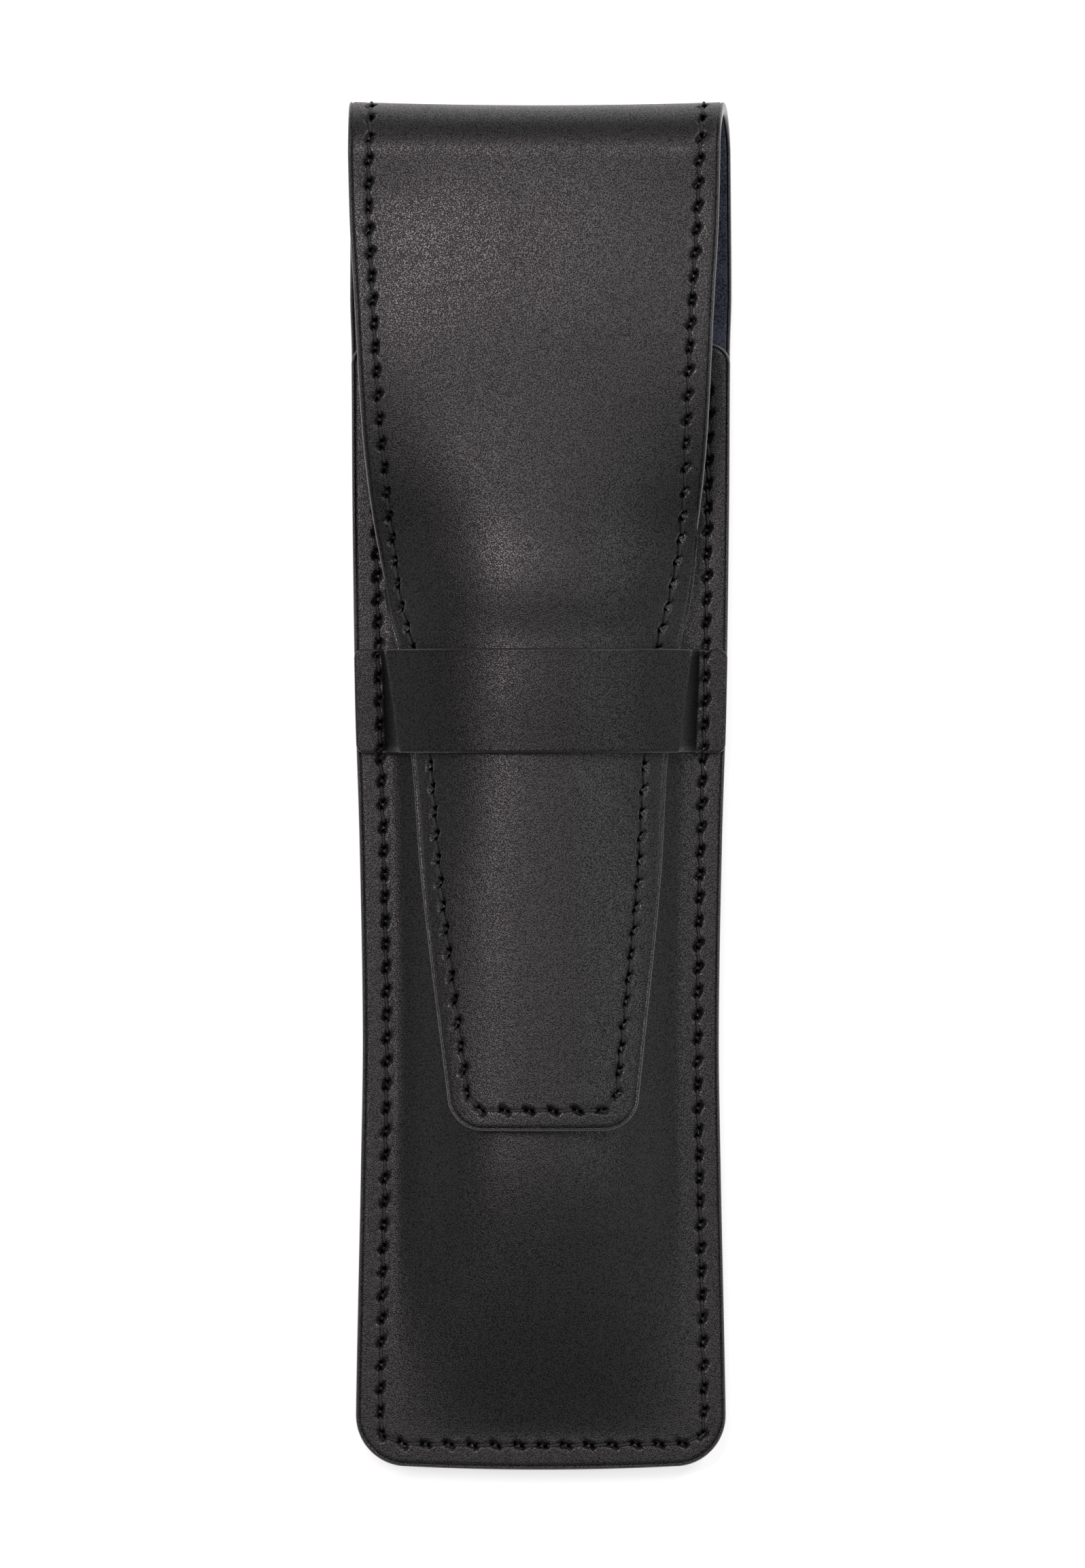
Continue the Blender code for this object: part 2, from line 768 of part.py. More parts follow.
def make_fold(finishes, collection):
    """The middle piece of the fold."""
    return make_layers(
        "fold",
        lambda offset: sheet_points(fold_paths(), flap_columns, offset),
        -1,
        finishes,
        collection,
    )


def make_flap(finishes, collection):
    """The flap, from the end of the fold to the tip of its tongue."""
    return make_layers(
        "flap",
        lambda offset: sheet_points(flap_paths(), flap_columns, offset),
        -1,
        finishes,
        collection,
    )


def axis_place(degrees):
    """Where a fold axis crosses the middle plane, level with the leather's outside."""
    return roll_frame(math.radians(degrees) * FOLD_RADIUS)[0]


def add_axis(name, degrees, collection, pieces, parent=None):
    """An empty on a fold axis, with the pieces that turn about it as its children."""
    axis = bpy.data.objects.new(name, None)
    axis.location = axis_place(degrees)
    axis.empty_display_size = FOLD_RADIUS
    collection.objects.link(axis)
    bpy.context.view_layer.update()
    if parent:
        axis.parent = parent
        axis.matrix_parent_inverse = parent.matrix_world.inverted()
        bpy.context.view_layer.update()
    for piece in pieces:
        piece.parent = axis
        piece.matrix_parent_inverse = axis.matrix_world.inverted()
    return axis


def clear_scene():
    """Remove every object that the file opens with."""
    for thing in list(bpy.data.objects):
        bpy.data.objects.remove(thing)


def main():
    """Build the case, then hang the fold and the flap on their axes."""
    clear_scene()
    collection = bpy.data.collections.new("leather_pen_case")
    bpy.context.scene.collection.children.link(collection)
    finishes = {
        "leather": make_material(*LEATHER_FINISH),
        "suede": make_material(*SUEDE_FINISH),
        "thread": make_material(*THREAD_FINISH),
    }
    pocket = make_pocket(finishes, collection)
    fold = make_fold(finishes, collection)
    flap = make_flap(finishes, collection)
    make_top_thread(pocket, finishes["thread"], collection)
    make_under_thread(pocket, finishes["thread"], collection)
    fold.update(make_fold_threads(fold, finishes["thread"], collection))
    flap.update(make_flap_threads(flap, finishes["thread"], collection))
    first = add_axis("fold_axis", FIRST_CUT_DEG, collection, fold.values())
    add_axis("flap_axis", SECOND_CUT_DEG, collection, flap.values(), first)


main()
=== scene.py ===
"""The finished look of a sewn leather pen case that lies closed on its back.

Each sheet of leather and suede is drawn flat, sewn, and then bent over the fold. Lengths are in
metres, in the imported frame: X across the case, +Y to the folded end and +Z out of the front.
"""

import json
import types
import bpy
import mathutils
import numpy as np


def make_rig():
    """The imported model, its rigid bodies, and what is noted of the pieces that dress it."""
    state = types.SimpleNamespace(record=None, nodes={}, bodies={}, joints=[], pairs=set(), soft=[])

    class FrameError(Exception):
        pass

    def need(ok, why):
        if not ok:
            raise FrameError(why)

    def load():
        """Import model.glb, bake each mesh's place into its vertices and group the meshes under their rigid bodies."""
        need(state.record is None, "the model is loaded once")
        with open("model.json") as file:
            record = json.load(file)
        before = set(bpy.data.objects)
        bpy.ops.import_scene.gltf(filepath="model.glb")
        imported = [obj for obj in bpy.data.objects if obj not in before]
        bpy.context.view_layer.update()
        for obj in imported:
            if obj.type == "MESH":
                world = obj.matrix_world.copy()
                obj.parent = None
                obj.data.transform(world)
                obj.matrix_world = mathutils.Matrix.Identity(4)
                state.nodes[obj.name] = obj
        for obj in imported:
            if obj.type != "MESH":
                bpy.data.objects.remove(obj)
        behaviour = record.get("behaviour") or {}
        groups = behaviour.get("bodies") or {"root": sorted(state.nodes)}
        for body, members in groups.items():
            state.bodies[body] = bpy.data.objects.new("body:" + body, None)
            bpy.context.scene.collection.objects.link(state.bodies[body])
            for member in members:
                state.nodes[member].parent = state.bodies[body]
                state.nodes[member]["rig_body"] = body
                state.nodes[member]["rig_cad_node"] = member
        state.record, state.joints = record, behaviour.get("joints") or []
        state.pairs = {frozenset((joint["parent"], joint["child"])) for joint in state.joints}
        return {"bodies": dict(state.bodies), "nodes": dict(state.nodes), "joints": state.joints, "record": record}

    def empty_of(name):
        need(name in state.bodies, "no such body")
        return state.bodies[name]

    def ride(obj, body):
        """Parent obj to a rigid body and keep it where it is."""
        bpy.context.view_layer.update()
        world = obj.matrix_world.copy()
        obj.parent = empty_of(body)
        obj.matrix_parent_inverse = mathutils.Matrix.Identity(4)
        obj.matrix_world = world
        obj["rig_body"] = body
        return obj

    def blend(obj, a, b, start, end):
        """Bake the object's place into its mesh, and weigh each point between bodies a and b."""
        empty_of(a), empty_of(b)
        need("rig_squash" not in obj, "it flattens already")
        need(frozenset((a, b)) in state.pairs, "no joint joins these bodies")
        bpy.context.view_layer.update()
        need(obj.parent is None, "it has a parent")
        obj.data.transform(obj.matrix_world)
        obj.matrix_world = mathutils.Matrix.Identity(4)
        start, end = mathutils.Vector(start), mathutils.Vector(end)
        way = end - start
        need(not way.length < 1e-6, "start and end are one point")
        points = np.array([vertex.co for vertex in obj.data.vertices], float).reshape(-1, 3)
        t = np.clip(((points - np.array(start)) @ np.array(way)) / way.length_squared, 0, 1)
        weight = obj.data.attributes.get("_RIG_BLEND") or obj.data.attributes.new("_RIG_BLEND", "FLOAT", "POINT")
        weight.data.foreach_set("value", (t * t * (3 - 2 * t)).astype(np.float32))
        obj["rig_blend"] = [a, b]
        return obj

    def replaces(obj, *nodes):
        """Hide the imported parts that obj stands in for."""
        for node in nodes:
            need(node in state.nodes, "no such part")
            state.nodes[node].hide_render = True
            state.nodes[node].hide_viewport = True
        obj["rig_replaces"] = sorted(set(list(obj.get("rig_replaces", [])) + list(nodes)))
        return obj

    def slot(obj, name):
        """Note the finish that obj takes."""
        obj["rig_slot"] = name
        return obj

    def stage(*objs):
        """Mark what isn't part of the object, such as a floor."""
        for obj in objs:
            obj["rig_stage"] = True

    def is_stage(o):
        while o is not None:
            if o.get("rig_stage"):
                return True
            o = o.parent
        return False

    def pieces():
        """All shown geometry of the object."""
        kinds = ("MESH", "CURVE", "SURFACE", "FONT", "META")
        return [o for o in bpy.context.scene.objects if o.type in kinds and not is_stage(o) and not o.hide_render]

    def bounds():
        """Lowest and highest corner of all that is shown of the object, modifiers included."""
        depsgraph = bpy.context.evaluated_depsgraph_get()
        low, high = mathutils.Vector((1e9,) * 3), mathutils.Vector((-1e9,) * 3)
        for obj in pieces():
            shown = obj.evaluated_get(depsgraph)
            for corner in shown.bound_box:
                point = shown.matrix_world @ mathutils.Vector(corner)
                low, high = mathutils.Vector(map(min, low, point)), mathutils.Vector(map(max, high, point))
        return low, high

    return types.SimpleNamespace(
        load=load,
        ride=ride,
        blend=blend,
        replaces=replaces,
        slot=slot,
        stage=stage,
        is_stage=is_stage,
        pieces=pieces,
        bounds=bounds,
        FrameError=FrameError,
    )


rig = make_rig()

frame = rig.load()

import json
import logging
import math
from dataclasses import dataclass, field
from enum import Enum
from typing import Any, Callable, Sequence

import bpy
import numpy as np

Array = np.ndarray
Face = tuple[int, ...]
Range = tuple[float, float]
Colour = tuple[float, float, float]
Shares = Sequence[tuple[float, float]]
LOG = logging.getLogger("pen_case")
CAD_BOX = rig.bounds()
SIZE_FILE = "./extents.json"
SHARP_ANGLE = math.radians(50)
MICROMETRES = 1e6
TORN_SCALE = 3200.0
TORN_DETAIL = 1.0
ASKEW_AXIS = (0.48, 0.64, 0.6)
ASKEW_ANGLE = math.radians(52)
WHITE = (1.0, 1.0, 1.0, 1.0)


def smooth(share: Array | float) -> Array:
    """Ease a share in and out between 0 and 1."""
    share = np.clip(share, 0.0, 1.0)
    return share * share * (3 - 2 * share)


def mix(start: Any, end: Any, share: Any) -> Any:
    """Blend two values by a share."""
    return start + (end - start) * share


def read_shares(table: Shares, place: Array) -> Array:
    """Read a table of (place, value) shares on a smooth curve through its points.

    Args:
        table: Places in rising order, each with its value.
        place: Where to read it.

    Returns:
        The values there.
    """
    knots, values = np.array(table, float).T
    slopes = np.gradient(values, knots)
    slopes[1:-1] = (values[2:] - values[:-2]) / (knots[2:] - knots[:-2])
    place = np.clip(place, knots[0], knots[-1])
    index = np.clip(np.searchsorted(knots, place, side="right") - 1, 0, len(knots) - 2)
    width = knots[index + 1] - knots[index]
    t = (place - knots[index]) / width
    value = values[index] * (2 * t**3 - 3 * t**2 + 1)
    value += values[index + 1] * (3 * t**2 - 2 * t**3)
    value += slopes[index] * width * (t**3 - 2 * t**2 + t)
    return value + slopes[index + 1] * width * (t**3 - t**2)


def run_lengths(points: Array) -> Array:
    """Length of a line of points up to each of them."""
    steps = np.linalg.norm(np.diff(points, axis=0), axis=1)
    return np.concatenate(([0.0], np.cumsum(steps)))


def at_lengths(points: Array, lengths: Array, wanted: Array) -> Array:
    """Points on a line of points, where it has run the wanted lengths."""
    return np.stack([np.interp(wanted, lengths, column) for column in points.T], axis=1)


def resample(points: Array, count: int) -> Array:
    """Points at even steps along a line of points.

    Args:
        points: The line, one point a row.
        count: How many steps to take.

    Returns:
        count + 1 points, the line's two ends among them.
    """
    lengths = run_lengths(points)
    return at_lengths(points, lengths, np.linspace(0.0, lengths[-1], count + 1))


def line_length(points: Array) -> float:
    """Length of a line of points."""
    return float(np.linalg.norm(np.diff(points, axis=0), axis=1).sum())


def rounding(radius: float, insets: Array) -> Array:
    """How far an edge of some radius lies under the flat surface, at insets from the edge."""
    into = np.clip(radius - insets, 0.0, radius)
    return radius - np.sqrt(radius**2 - into**2)


def quads(rows: int, columns: int, spans: int, start: int = 0) -> list[Face]:
    """Faces between the neighbouring rows of a grid of points.

    Args:
        rows: How many rows there are.
        columns: How many points a row has.
        spans: How many faces a row has, as many as its points where it is a closed ring.
        start: Place of the first point.

    Returns:
        The faces, row by row.
    """
    faces = []
    for row in range(start, start + (rows - 1) * columns, columns):
        for span in range(spans):
            a, b = row + span, row + (span + 1) % columns
            faces.append((a, b, b + columns, a + columns))
    return faces


class Sheet(Enum):
    """The sheets that the case is sewn from."""

    FRONT = "front"
    BACK = "back"
    FLAP = "flap"


@dataclass(frozen=True)
class PouchShape:
    """Driving sizes of the case, and the surfaces that its sheets follow."""

    length: float = 0.1604
    width: float = 0.0446
    corner: float = 0.0060
    bottom_bow: float = 0.0004
    outline_shares: Shares = (
        (0.0, 1.0), (0.14, 1.006), (0.18, 0.998), (0.3, 0.992), (0.44, 0.977),
        (0.54, 0.955), (0.68, 0.938), (0.78, 0.948), (0.95, 0.973), (1.0, 0.974),
    )
    leather: float = 0.0009
    lining: float = 0.0004
    glue_gap: float = 0.0002
    seam_gap: float = 0.0003
    mouth_drop: float = 0.0282
    mouth_corner: float = 0.0024
    seam_margin: float = 0.0040
    pocket_rise: float = 0.0073
    back_rise: float = 0.0025
    closing_length: float = 0.034
    side_power: float = 2.6
    side_fade_power: float = 1.5
    end_power: float = 2.2
    end_fade_power: float = 1.4
    flat_back_share: float = 0.6
    fold_lift: float = 0.0012
    fold_sag: float = 0.0010
    flap_reach: float = 0.1203
    flap_width: float = 0.0436
    flap_gap: float = 0.00055
    tip_corner: float = 0.0040
    hug_shares: Shares = (
        (0.0, 0.0), (0.05, 0.0), (0.1, 0.05), (0.2, 0.06), (0.28, 0.09), (0.36, 0.33),
        (0.43, 0.75), (0.5, 1.0), (0.64, 1.0), (0.78, 0.72), (1.0, 0.55),
    )
    flap_shares: Shares = (
        (0.0, 1.0), (0.12, 0.986), (0.19, 0.963), (0.325, 0.922), (0.39, 0.884),
        (0.44, 0.843), (0.49, 0.79), (0.53, 0.733), (0.64, 0.654), (0.76, 0.613),
        (0.96, 0.497), (1.0, 0.475),
    )
    flap_shift: float = 0.0008
    flap_shift_shares: Shares = ((0.0, -1.0), (0.33, -0.85), (0.6, -0.25), (1.0, 0.4))
    strap_drop: float = 0.0641
    strap_width: float = 0.0122
    strap_leather: float = 0.0010
    strap_corner: float = 0.0010
    sag: float = 0.0004
    sag_drop: float = 0.016
    sag_reach: float = 0.0085
    strap_pull: float = 0.00024
    pull_drop: float = 0.0040
    pull_reach: float = 0.0036
    tunnel_gap: float = 0.00040
    tunnel_side_gap: float = 0.0001
    stitch_pitch: float = 0.00275
    body_stitch_inset: float = 0.0027
    body_stitch_corner: float = 0.0019
    body_stitch_lean: float = 0.00015
    flap_stitch_inset: float = 0.0024
    flap_stitch_corner: float = 0.0016
    flap_stitch_lean: float = 0.0004
    flap_lean_shares: Shares = (
        (0.0, 0.3), (0.15, -0.5), (0.32, -0.6), (0.42, 0.0), (0.5, -0.9), (0.65, -0.6),
        (1.0, -0.4),
    )
    slope_step: float = 0.00002

    @property
    def stack(self) -> float:
        """Leather, glue and lining together."""
        return self.leather + self.glue_gap + self.lining

    @property
    def top(self) -> float:
        """The folded end."""
        return self.length / 2

    @property
    def bottom(self) -> float:
        """The sewn end, without its bow."""
        return self.bottom_bow - self.length / 2

    @property
    def mouth(self) -> float:
        """The pocket's mouth."""
        return self.top - self.mouth_drop

    @property
    def tip(self) -> float:
        """The tip of the flap's tongue."""
        return self.top - self.flap_reach

    @property
    def seam_top(self) -> float:
        """Height of the front leather's outside on the sewn margin."""
        return self.back_rise + 2 * self.stack + self.seam_gap

    @property
    def crown(self) -> float:
        """Height of the front leather's outside over the pens."""
        return self.seam_top + self.pocket_rise

    @property
    def fold_radius(self) -> float:
        """Radius of the fold's outside."""
        flap_crown = self.crown + self.flap_gap + self.stack
        return (flap_crown - self.fold_sag - self.fold_lift) / 2

    @property
    def fold_centre(self) -> float:
        """Height of the fold's centre line."""
        return self.fold_lift + self.fold_radius

    @property
    def fold_start(self) -> float:
        """Where the level sheets begin to bend."""
        return self.top - self.fold_radius

    @property
    def fold_end(self) -> float:
        """The top of the fold on a flat sheet, a quarter turn past where it begins."""
        return self.fold_start + math.pi / 2 * self.fold_radius

    def straight_half_width(self, y: Array) -> Array:
        """Half the case's width, before its corners are rounded."""
        share = read_shares(self.outline_shares, (self.top - y) / self.length)
        return share * self.width / 2

    def body_half_width(self, y: Array) -> Array:
        """Half the case's width, with its rounded bottom corners.

        Args:
            y: Places along the sheet.

        Returns:
            Half the width.
        """
        half = self.straight_half_width(y)
        into = np.clip(self.corner - (y - self.bottom), 0.0, self.corner)
        return half - self.corner + np.sqrt(self.corner**2 - into**2)

    def tongue_half_width(self, y: Array) -> Array:
        """Half the flap's width on its inside, before its corners are rounded."""
        share = read_shares(self.flap_shares, (self.top - y) / self.flap_reach)
        return share * self.flap_width / 2

    def tongue_middle(self, y: Array) -> Array:
        """The flap's middle line, a little to one side."""
        share = read_shares(self.flap_shift_shares, (self.top - y) / self.flap_reach)
        return self.flap_shift * share

    def _round_fold(self, y: Array, sheet: Sheet) -> Array:
        """Eased share of the way round the fold, from the back to the flap."""
        turn = (y - self.fold_start) / (math.pi * self.fold_radius)
        return smooth(turn if sheet is Sheet.BACK else 1 - turn)

    def _rolled(self, sheet: Sheet, y: Array, back: Any, flap: Any, flat: Any) -> Array:
        """A sheet's flat value, eased round the fold from the back's to the flap's."""
        rolled = mix(back, flap, self._round_fold(y, sheet))
        return np.where(y > self.fold_start, rolled, flat)

    def half_width(self, sheet: Sheet, y: Array) -> Array:
        """Half the width of a flat sheet, before its corners are rounded.

        Args:
            sheet: Which sheet.
            y: Places along the sheet.

        Returns:
            Half the width.
        """
        if sheet is Sheet.FRONT:
            return self.straight_half_width(y)
        start = self.straight_half_width(np.array(self.fold_start))
        end = self.tongue_half_width(np.array(self.fold_start))
        flat = self.straight_half_width(y) if sheet is Sheet.BACK else self.tongue_half_width(y)
        return self._rolled(sheet, y, start, end, flat)

    def middle(self, sheet: Sheet, y: Array) -> Array:
        """The middle line of a flat sheet.

        Args:
            sheet: Which sheet.
            y: Places along the sheet.

        Returns:
            The x of the middle line.
        """
        if sheet is Sheet.FRONT:
            return np.zeros_like(y)
        end = self.tongue_middle(np.array(self.fold_start))
        flat = np.zeros_like(y) if sheet is Sheet.BACK else self.tongue_middle(y)
        return self._rolled(sheet, y, 0.0, end, flat)

    def stitch_inset(self, sheet: Sheet, y: Array) -> Array:
        """How far the stitches lie from the edge of a flat sheet.

        Args:
            sheet: Which sheet.
            y: Places along the sheet.

        Returns:
            The distance.
        """
        body, flap = self.body_stitch_inset, self.flap_stitch_inset
        if sheet is Sheet.FRONT:
            return np.full_like(y, body)
        return self._rolled(sheet, y, body, flap, flap if sheet is Sheet.FLAP else body)

    def stitch_lean(self, sheet: Sheet, y: Array) -> Array:
        """How far the stitch line is drawn to the right of the middle of its sheet.

        Args:
            sheet: Which sheet.
            y: Places along the sheet.

        Returns:
            The distance.
        """
        body = self.body_stitch_lean
        if sheet is Sheet.FRONT:
            return np.full_like(y, body)
        share = read_shares(self.flap_lean_shares, (self.top - y) / self.flap_reach)
        flat = body if sheet is Sheet.BACK else self.flap_stitch_lean * share
        start = self.flap_stitch_lean * self.flap_lean_shares[0][1]
        return self._rolled(sheet, y, body, start, flat)

    def bulge(self, x: Array, y: Array) -> Array:
        """How full the pocket is: 1 over the pens, 0 on the sewn margin.

        Args:
            x: Places across the sheet.
            y: Places along the sheet.

        Returns:
            The share.
        """
        inner = self.body_half_width(y) - self.seam_margin
        side = np.clip(np.abs(x) / inner, 0.0, 1.0)
        across = (1 - side**self.side_power) ** self.side_fade_power
        depth = y - (self.bottom - self.bottom_bow) - self.seam_margin
        end = np.clip(depth / self.closing_length, 0.0, 1.0)
        along = (1 - (1 - end) ** self.end_power) ** self.end_fade_power
        return across * along

    def front_height(self, x: Array, y: Array) -> Array:
        """Height of the front leather's outside, which sags a little below the tongue."""
        sag = self.sag * np.exp(-(((self.tip - self.sag_drop - y) / self.sag_reach) ** 2))
        return self.seam_top + (self.pocket_rise - sag) * self.bulge(x, y)

    def back_height(self, x: Array, y: Array) -> Array:
        """Height of the back leather's outside.

        Args:
            x: Places across the sheet.
            y: Places along the sheet.

        Returns:
            The z of the surface.
        """
        pocket = self.back_rise * (1 - smooth(self.bulge(x, y) / self.flat_back_share))
        share = smooth((y - self.mouth) / (self.fold_start - self.mouth))
        return mix(pocket, self.fold_lift, share)

    def slopes(self, height: Callable[[Array, Array], Array], x: Array, y: Array) -> Array:
        """Unit normals, pointing up, of a height function.

        Args:
            height: The height function.
            x: Places across the sheet.
            y: Places along the sheet.

        Returns:
            One unit normal for each place.
        """
        step = self.slope_step
        across = (height(x + step, y) - height(x - step, y)) / (2 * step)
        along = (height(x, y + step) - height(x, y - step)) / (2 * step)
        normals = np.stack([-across, -along, np.ones_like(across)], axis=-1)
        return normals / np.linalg.norm(normals, axis=-1, keepdims=True)

    def flap_inside_height(self, x: Array, y: Array) -> Array:
        """Height of the flap lining's inside.

        Args:
            x: Places across the sheet.
            y: Places along the sheet.

        Returns:
            The z of the surface.
        """
        inside_top = self.fold_lift + 2 * self.fold_radius - self.stack
        drop = self.fold_start - y
        share = smooth(drop / (self.fold_start - self.mouth))
        crest = mix(inside_top, self.crown + self.flap_gap, share)
        hug = read_shares(self.hug_shares, (self.top - y) / self.flap_reach)
        hug = np.clip(hug, 0.0, 1.0)
        steepness = 1 / self.slopes(self.front_height, x, y)[..., 2]
        fall = self.crown - self.front_height(x, y)
        return crest + self._bow(y) - hug * fall + hug * self.flap_gap * (steepness - 1)

    def _bow(self, y: Array) -> Array:
        """How far the flap rises before the strap and dips at its edge, where it is pulled in."""
        step = (y - (self.top - self.strap_drop) - self.pull_drop) / self.pull_reach
        return self.strap_pull * step * np.exp((1 - step**2) / 2)

    def outside(self, sheet: Sheet, x: Array, y: Array) -> tuple[Array, Array]:
        """Points on the leather's outside, and the outward normals there.

        Args:
            sheet: Which sheet.
            x: Places across it.
            y: Places along it, measured on the flat sheet past the fold's start.

        Returns:
            The points and the unit normals.
        """
        if sheet is Sheet.FRONT:
            normals = self.slopes(self.front_height, x, y)
            return np.stack([x, y, self.front_height(x, y)], axis=-1), normals
        if sheet is Sheet.BACK:
            normals = -self.slopes(self.back_height, x, y)
            return np.stack([x, y, self.back_height(x, y)], axis=-1), normals
        normals = self.slopes(self.flap_inside_height, x, y)
        inside = np.stack([x, y, self.flap_inside_height(x, y)], axis=-1)
        return inside + normals * self.stack, normals

    def bowed(self, x: Array, y: Array) -> Array:
        """Move places near the bottom edge onto its slight outward bow.

        Args:
            x: Places across the sheet.
            y: Places along the sheet.

        Returns:
            The moved y.
        """
        near = np.clip((self.bottom + self.corner - y) / self.corner, 0.0, 1.0)
        reach = self.straight_half_width(y) - self.corner
        return y - self.bottom_bow * near * (1 - np.clip(np.abs(x) / reach, 0.0, 1.0) ** 2)


@dataclass(frozen=True)
class Blank:
    """The flat shape that a sheet is cut to, with its inset lines."""

    shape: PouchShape
    sheet: Sheet
    dense: float = 0.0002
    arc_points: int = 24

    @property
    def bottom(self) -> float:
        """The rounded end."""
        return self.shape.tip if self.sheet is Sheet.FLAP else self.shape.bottom

    @property
    def corner(self) -> float:
        """Radius of the two corners at the rounded end."""
        return self.shape.tip_corner if self.sheet is Sheet.FLAP else self.shape.corner

    @property
    def closed(self) -> bool:
        """Whether the other end is a cut edge, and not the top of the fold."""
        return self.sheet is Sheet.FRONT

    @property
    def top(self) -> float:
        """The other end."""
        return self.shape.mouth if self.closed else self.shape.fold_end

    def _side(self, y: Array, inset: Array | float, side: int) -> Array:
        """One long side at an inset from the edge."""
        half = self.shape.half_width(self.sheet, y) - inset
        return np.stack([self.shape.middle(self.sheet, y) + side * half, y], axis=1)

    def _arc(self, edge: float, inset: float, radius: float, side: int, way: int) -> Array:
        """A rounded corner, from the side to the end edge.

        Args:
            edge: The y of the end edge.
            inset: Distance in from the edge.
            radius: The corner's radius.
            side: 1 for the right, -1 for the left.
            way: 1 where the sheet lies above the edge, -1 where it lies below.

        Returns:
            The corner's points.
        """
        y = np.array(edge + way * (inset + radius))
        half = float(self.shape.half_width(self.sheet, y)) - inset - radius
        centre = float(self.shape.middle(self.sheet, y)) + side * half
        turn = np.linspace(0.0, math.pi / 2, self.arc_points)
        return np.stack(
            [centre + side * radius * np.cos(turn), y - way * radius * np.sin(turn)], axis=1
        )

    def runs(self, inset: float, corner: float, top_corner: float) -> list[Array]:
        """The line at an inset from the edge, as one run a side.

        Args:
            inset: Distance in from the edge.
            corner: Radius of the line's two corners at the rounded end.
            top_corner: Radius of its corners at the other end, where that is cut.

        Returns:
            Left run downwards, bottom run to the right, right run upwards and, on a closed
            blank, top run to the left. Runs meet in the middle of the rounded corners.
        """
        low = self.bottom + inset + corner
        high = self.top - (inset + top_corner if self.closed else 0.0)
        y = np.arange(high, low, -self.dense)
        arcs = {side: self._arc(self.bottom, inset, corner, side, 1) for side in (-1, 1)}
        half_turn = len(arcs[1]) // 2
        left = np.concatenate([self._side(y, inset, -1), arcs[-1][: half_turn + 1]])
        right = np.concatenate([self._side(y, inset, 1), arcs[1][: half_turn + 1]])
        bottom = np.concatenate([arcs[-1][half_turn:], arcs[1][: half_turn - 1 : -1]])
        if not self.closed:
            return [left, bottom, right[::-1]]
        tops = {side: self._arc(self.top, inset, top_corner, side, -1) for side in (-1, 1)}
        left = np.concatenate([tops[-1][half_turn::-1], left])
        right = np.concatenate([tops[1][half_turn::-1], right])
        top = np.concatenate([tops[1][half_turn:], tops[-1][: half_turn - 1 : -1]])
        return [left, bottom, right[::-1], top]

    def loop(self, inset: float, corner: float, top_corner: float, counts: Sequence[int]) -> Array:
        """The inset line with a fixed number of steps on each run.

        Args:
            inset: Distance in from the edge.
            corner: Radius of the two corners at the rounded end.
            top_corner: Radius of the corners at the other end.
            counts: Steps on each run.

        Returns:
            The line's points.
        """
        runs = self.runs(inset, corner, top_corner)
        parts = [resample(run, count)[:-1] for run, count in zip(runs, counts)]
        if not self.closed:
            parts.append(runs[-1][-1:])
        return np.concatenate(parts)


@dataclass(frozen=True)
class RimPlan:
    """How a sheet is divided from its edge inwards.

    The rings keep their distance from the edge. The band's rings run on from them to a line
    whose corners are nearly square, and the last of the band is where the grid inside starts.
    """

    rings: Sequence[float]
    band: Sequence[float]
    step: float
    thin: int = 3
    inner_corner: float = 0.0006


@dataclass
class FlatMesh:
    """Flat places on a sheet, each with its distance from the edge, and the faces on them.

    The places start with the stations along the edge.
    """

    places: Array
    insets: Array
    faces: list[Face]
    stations: int


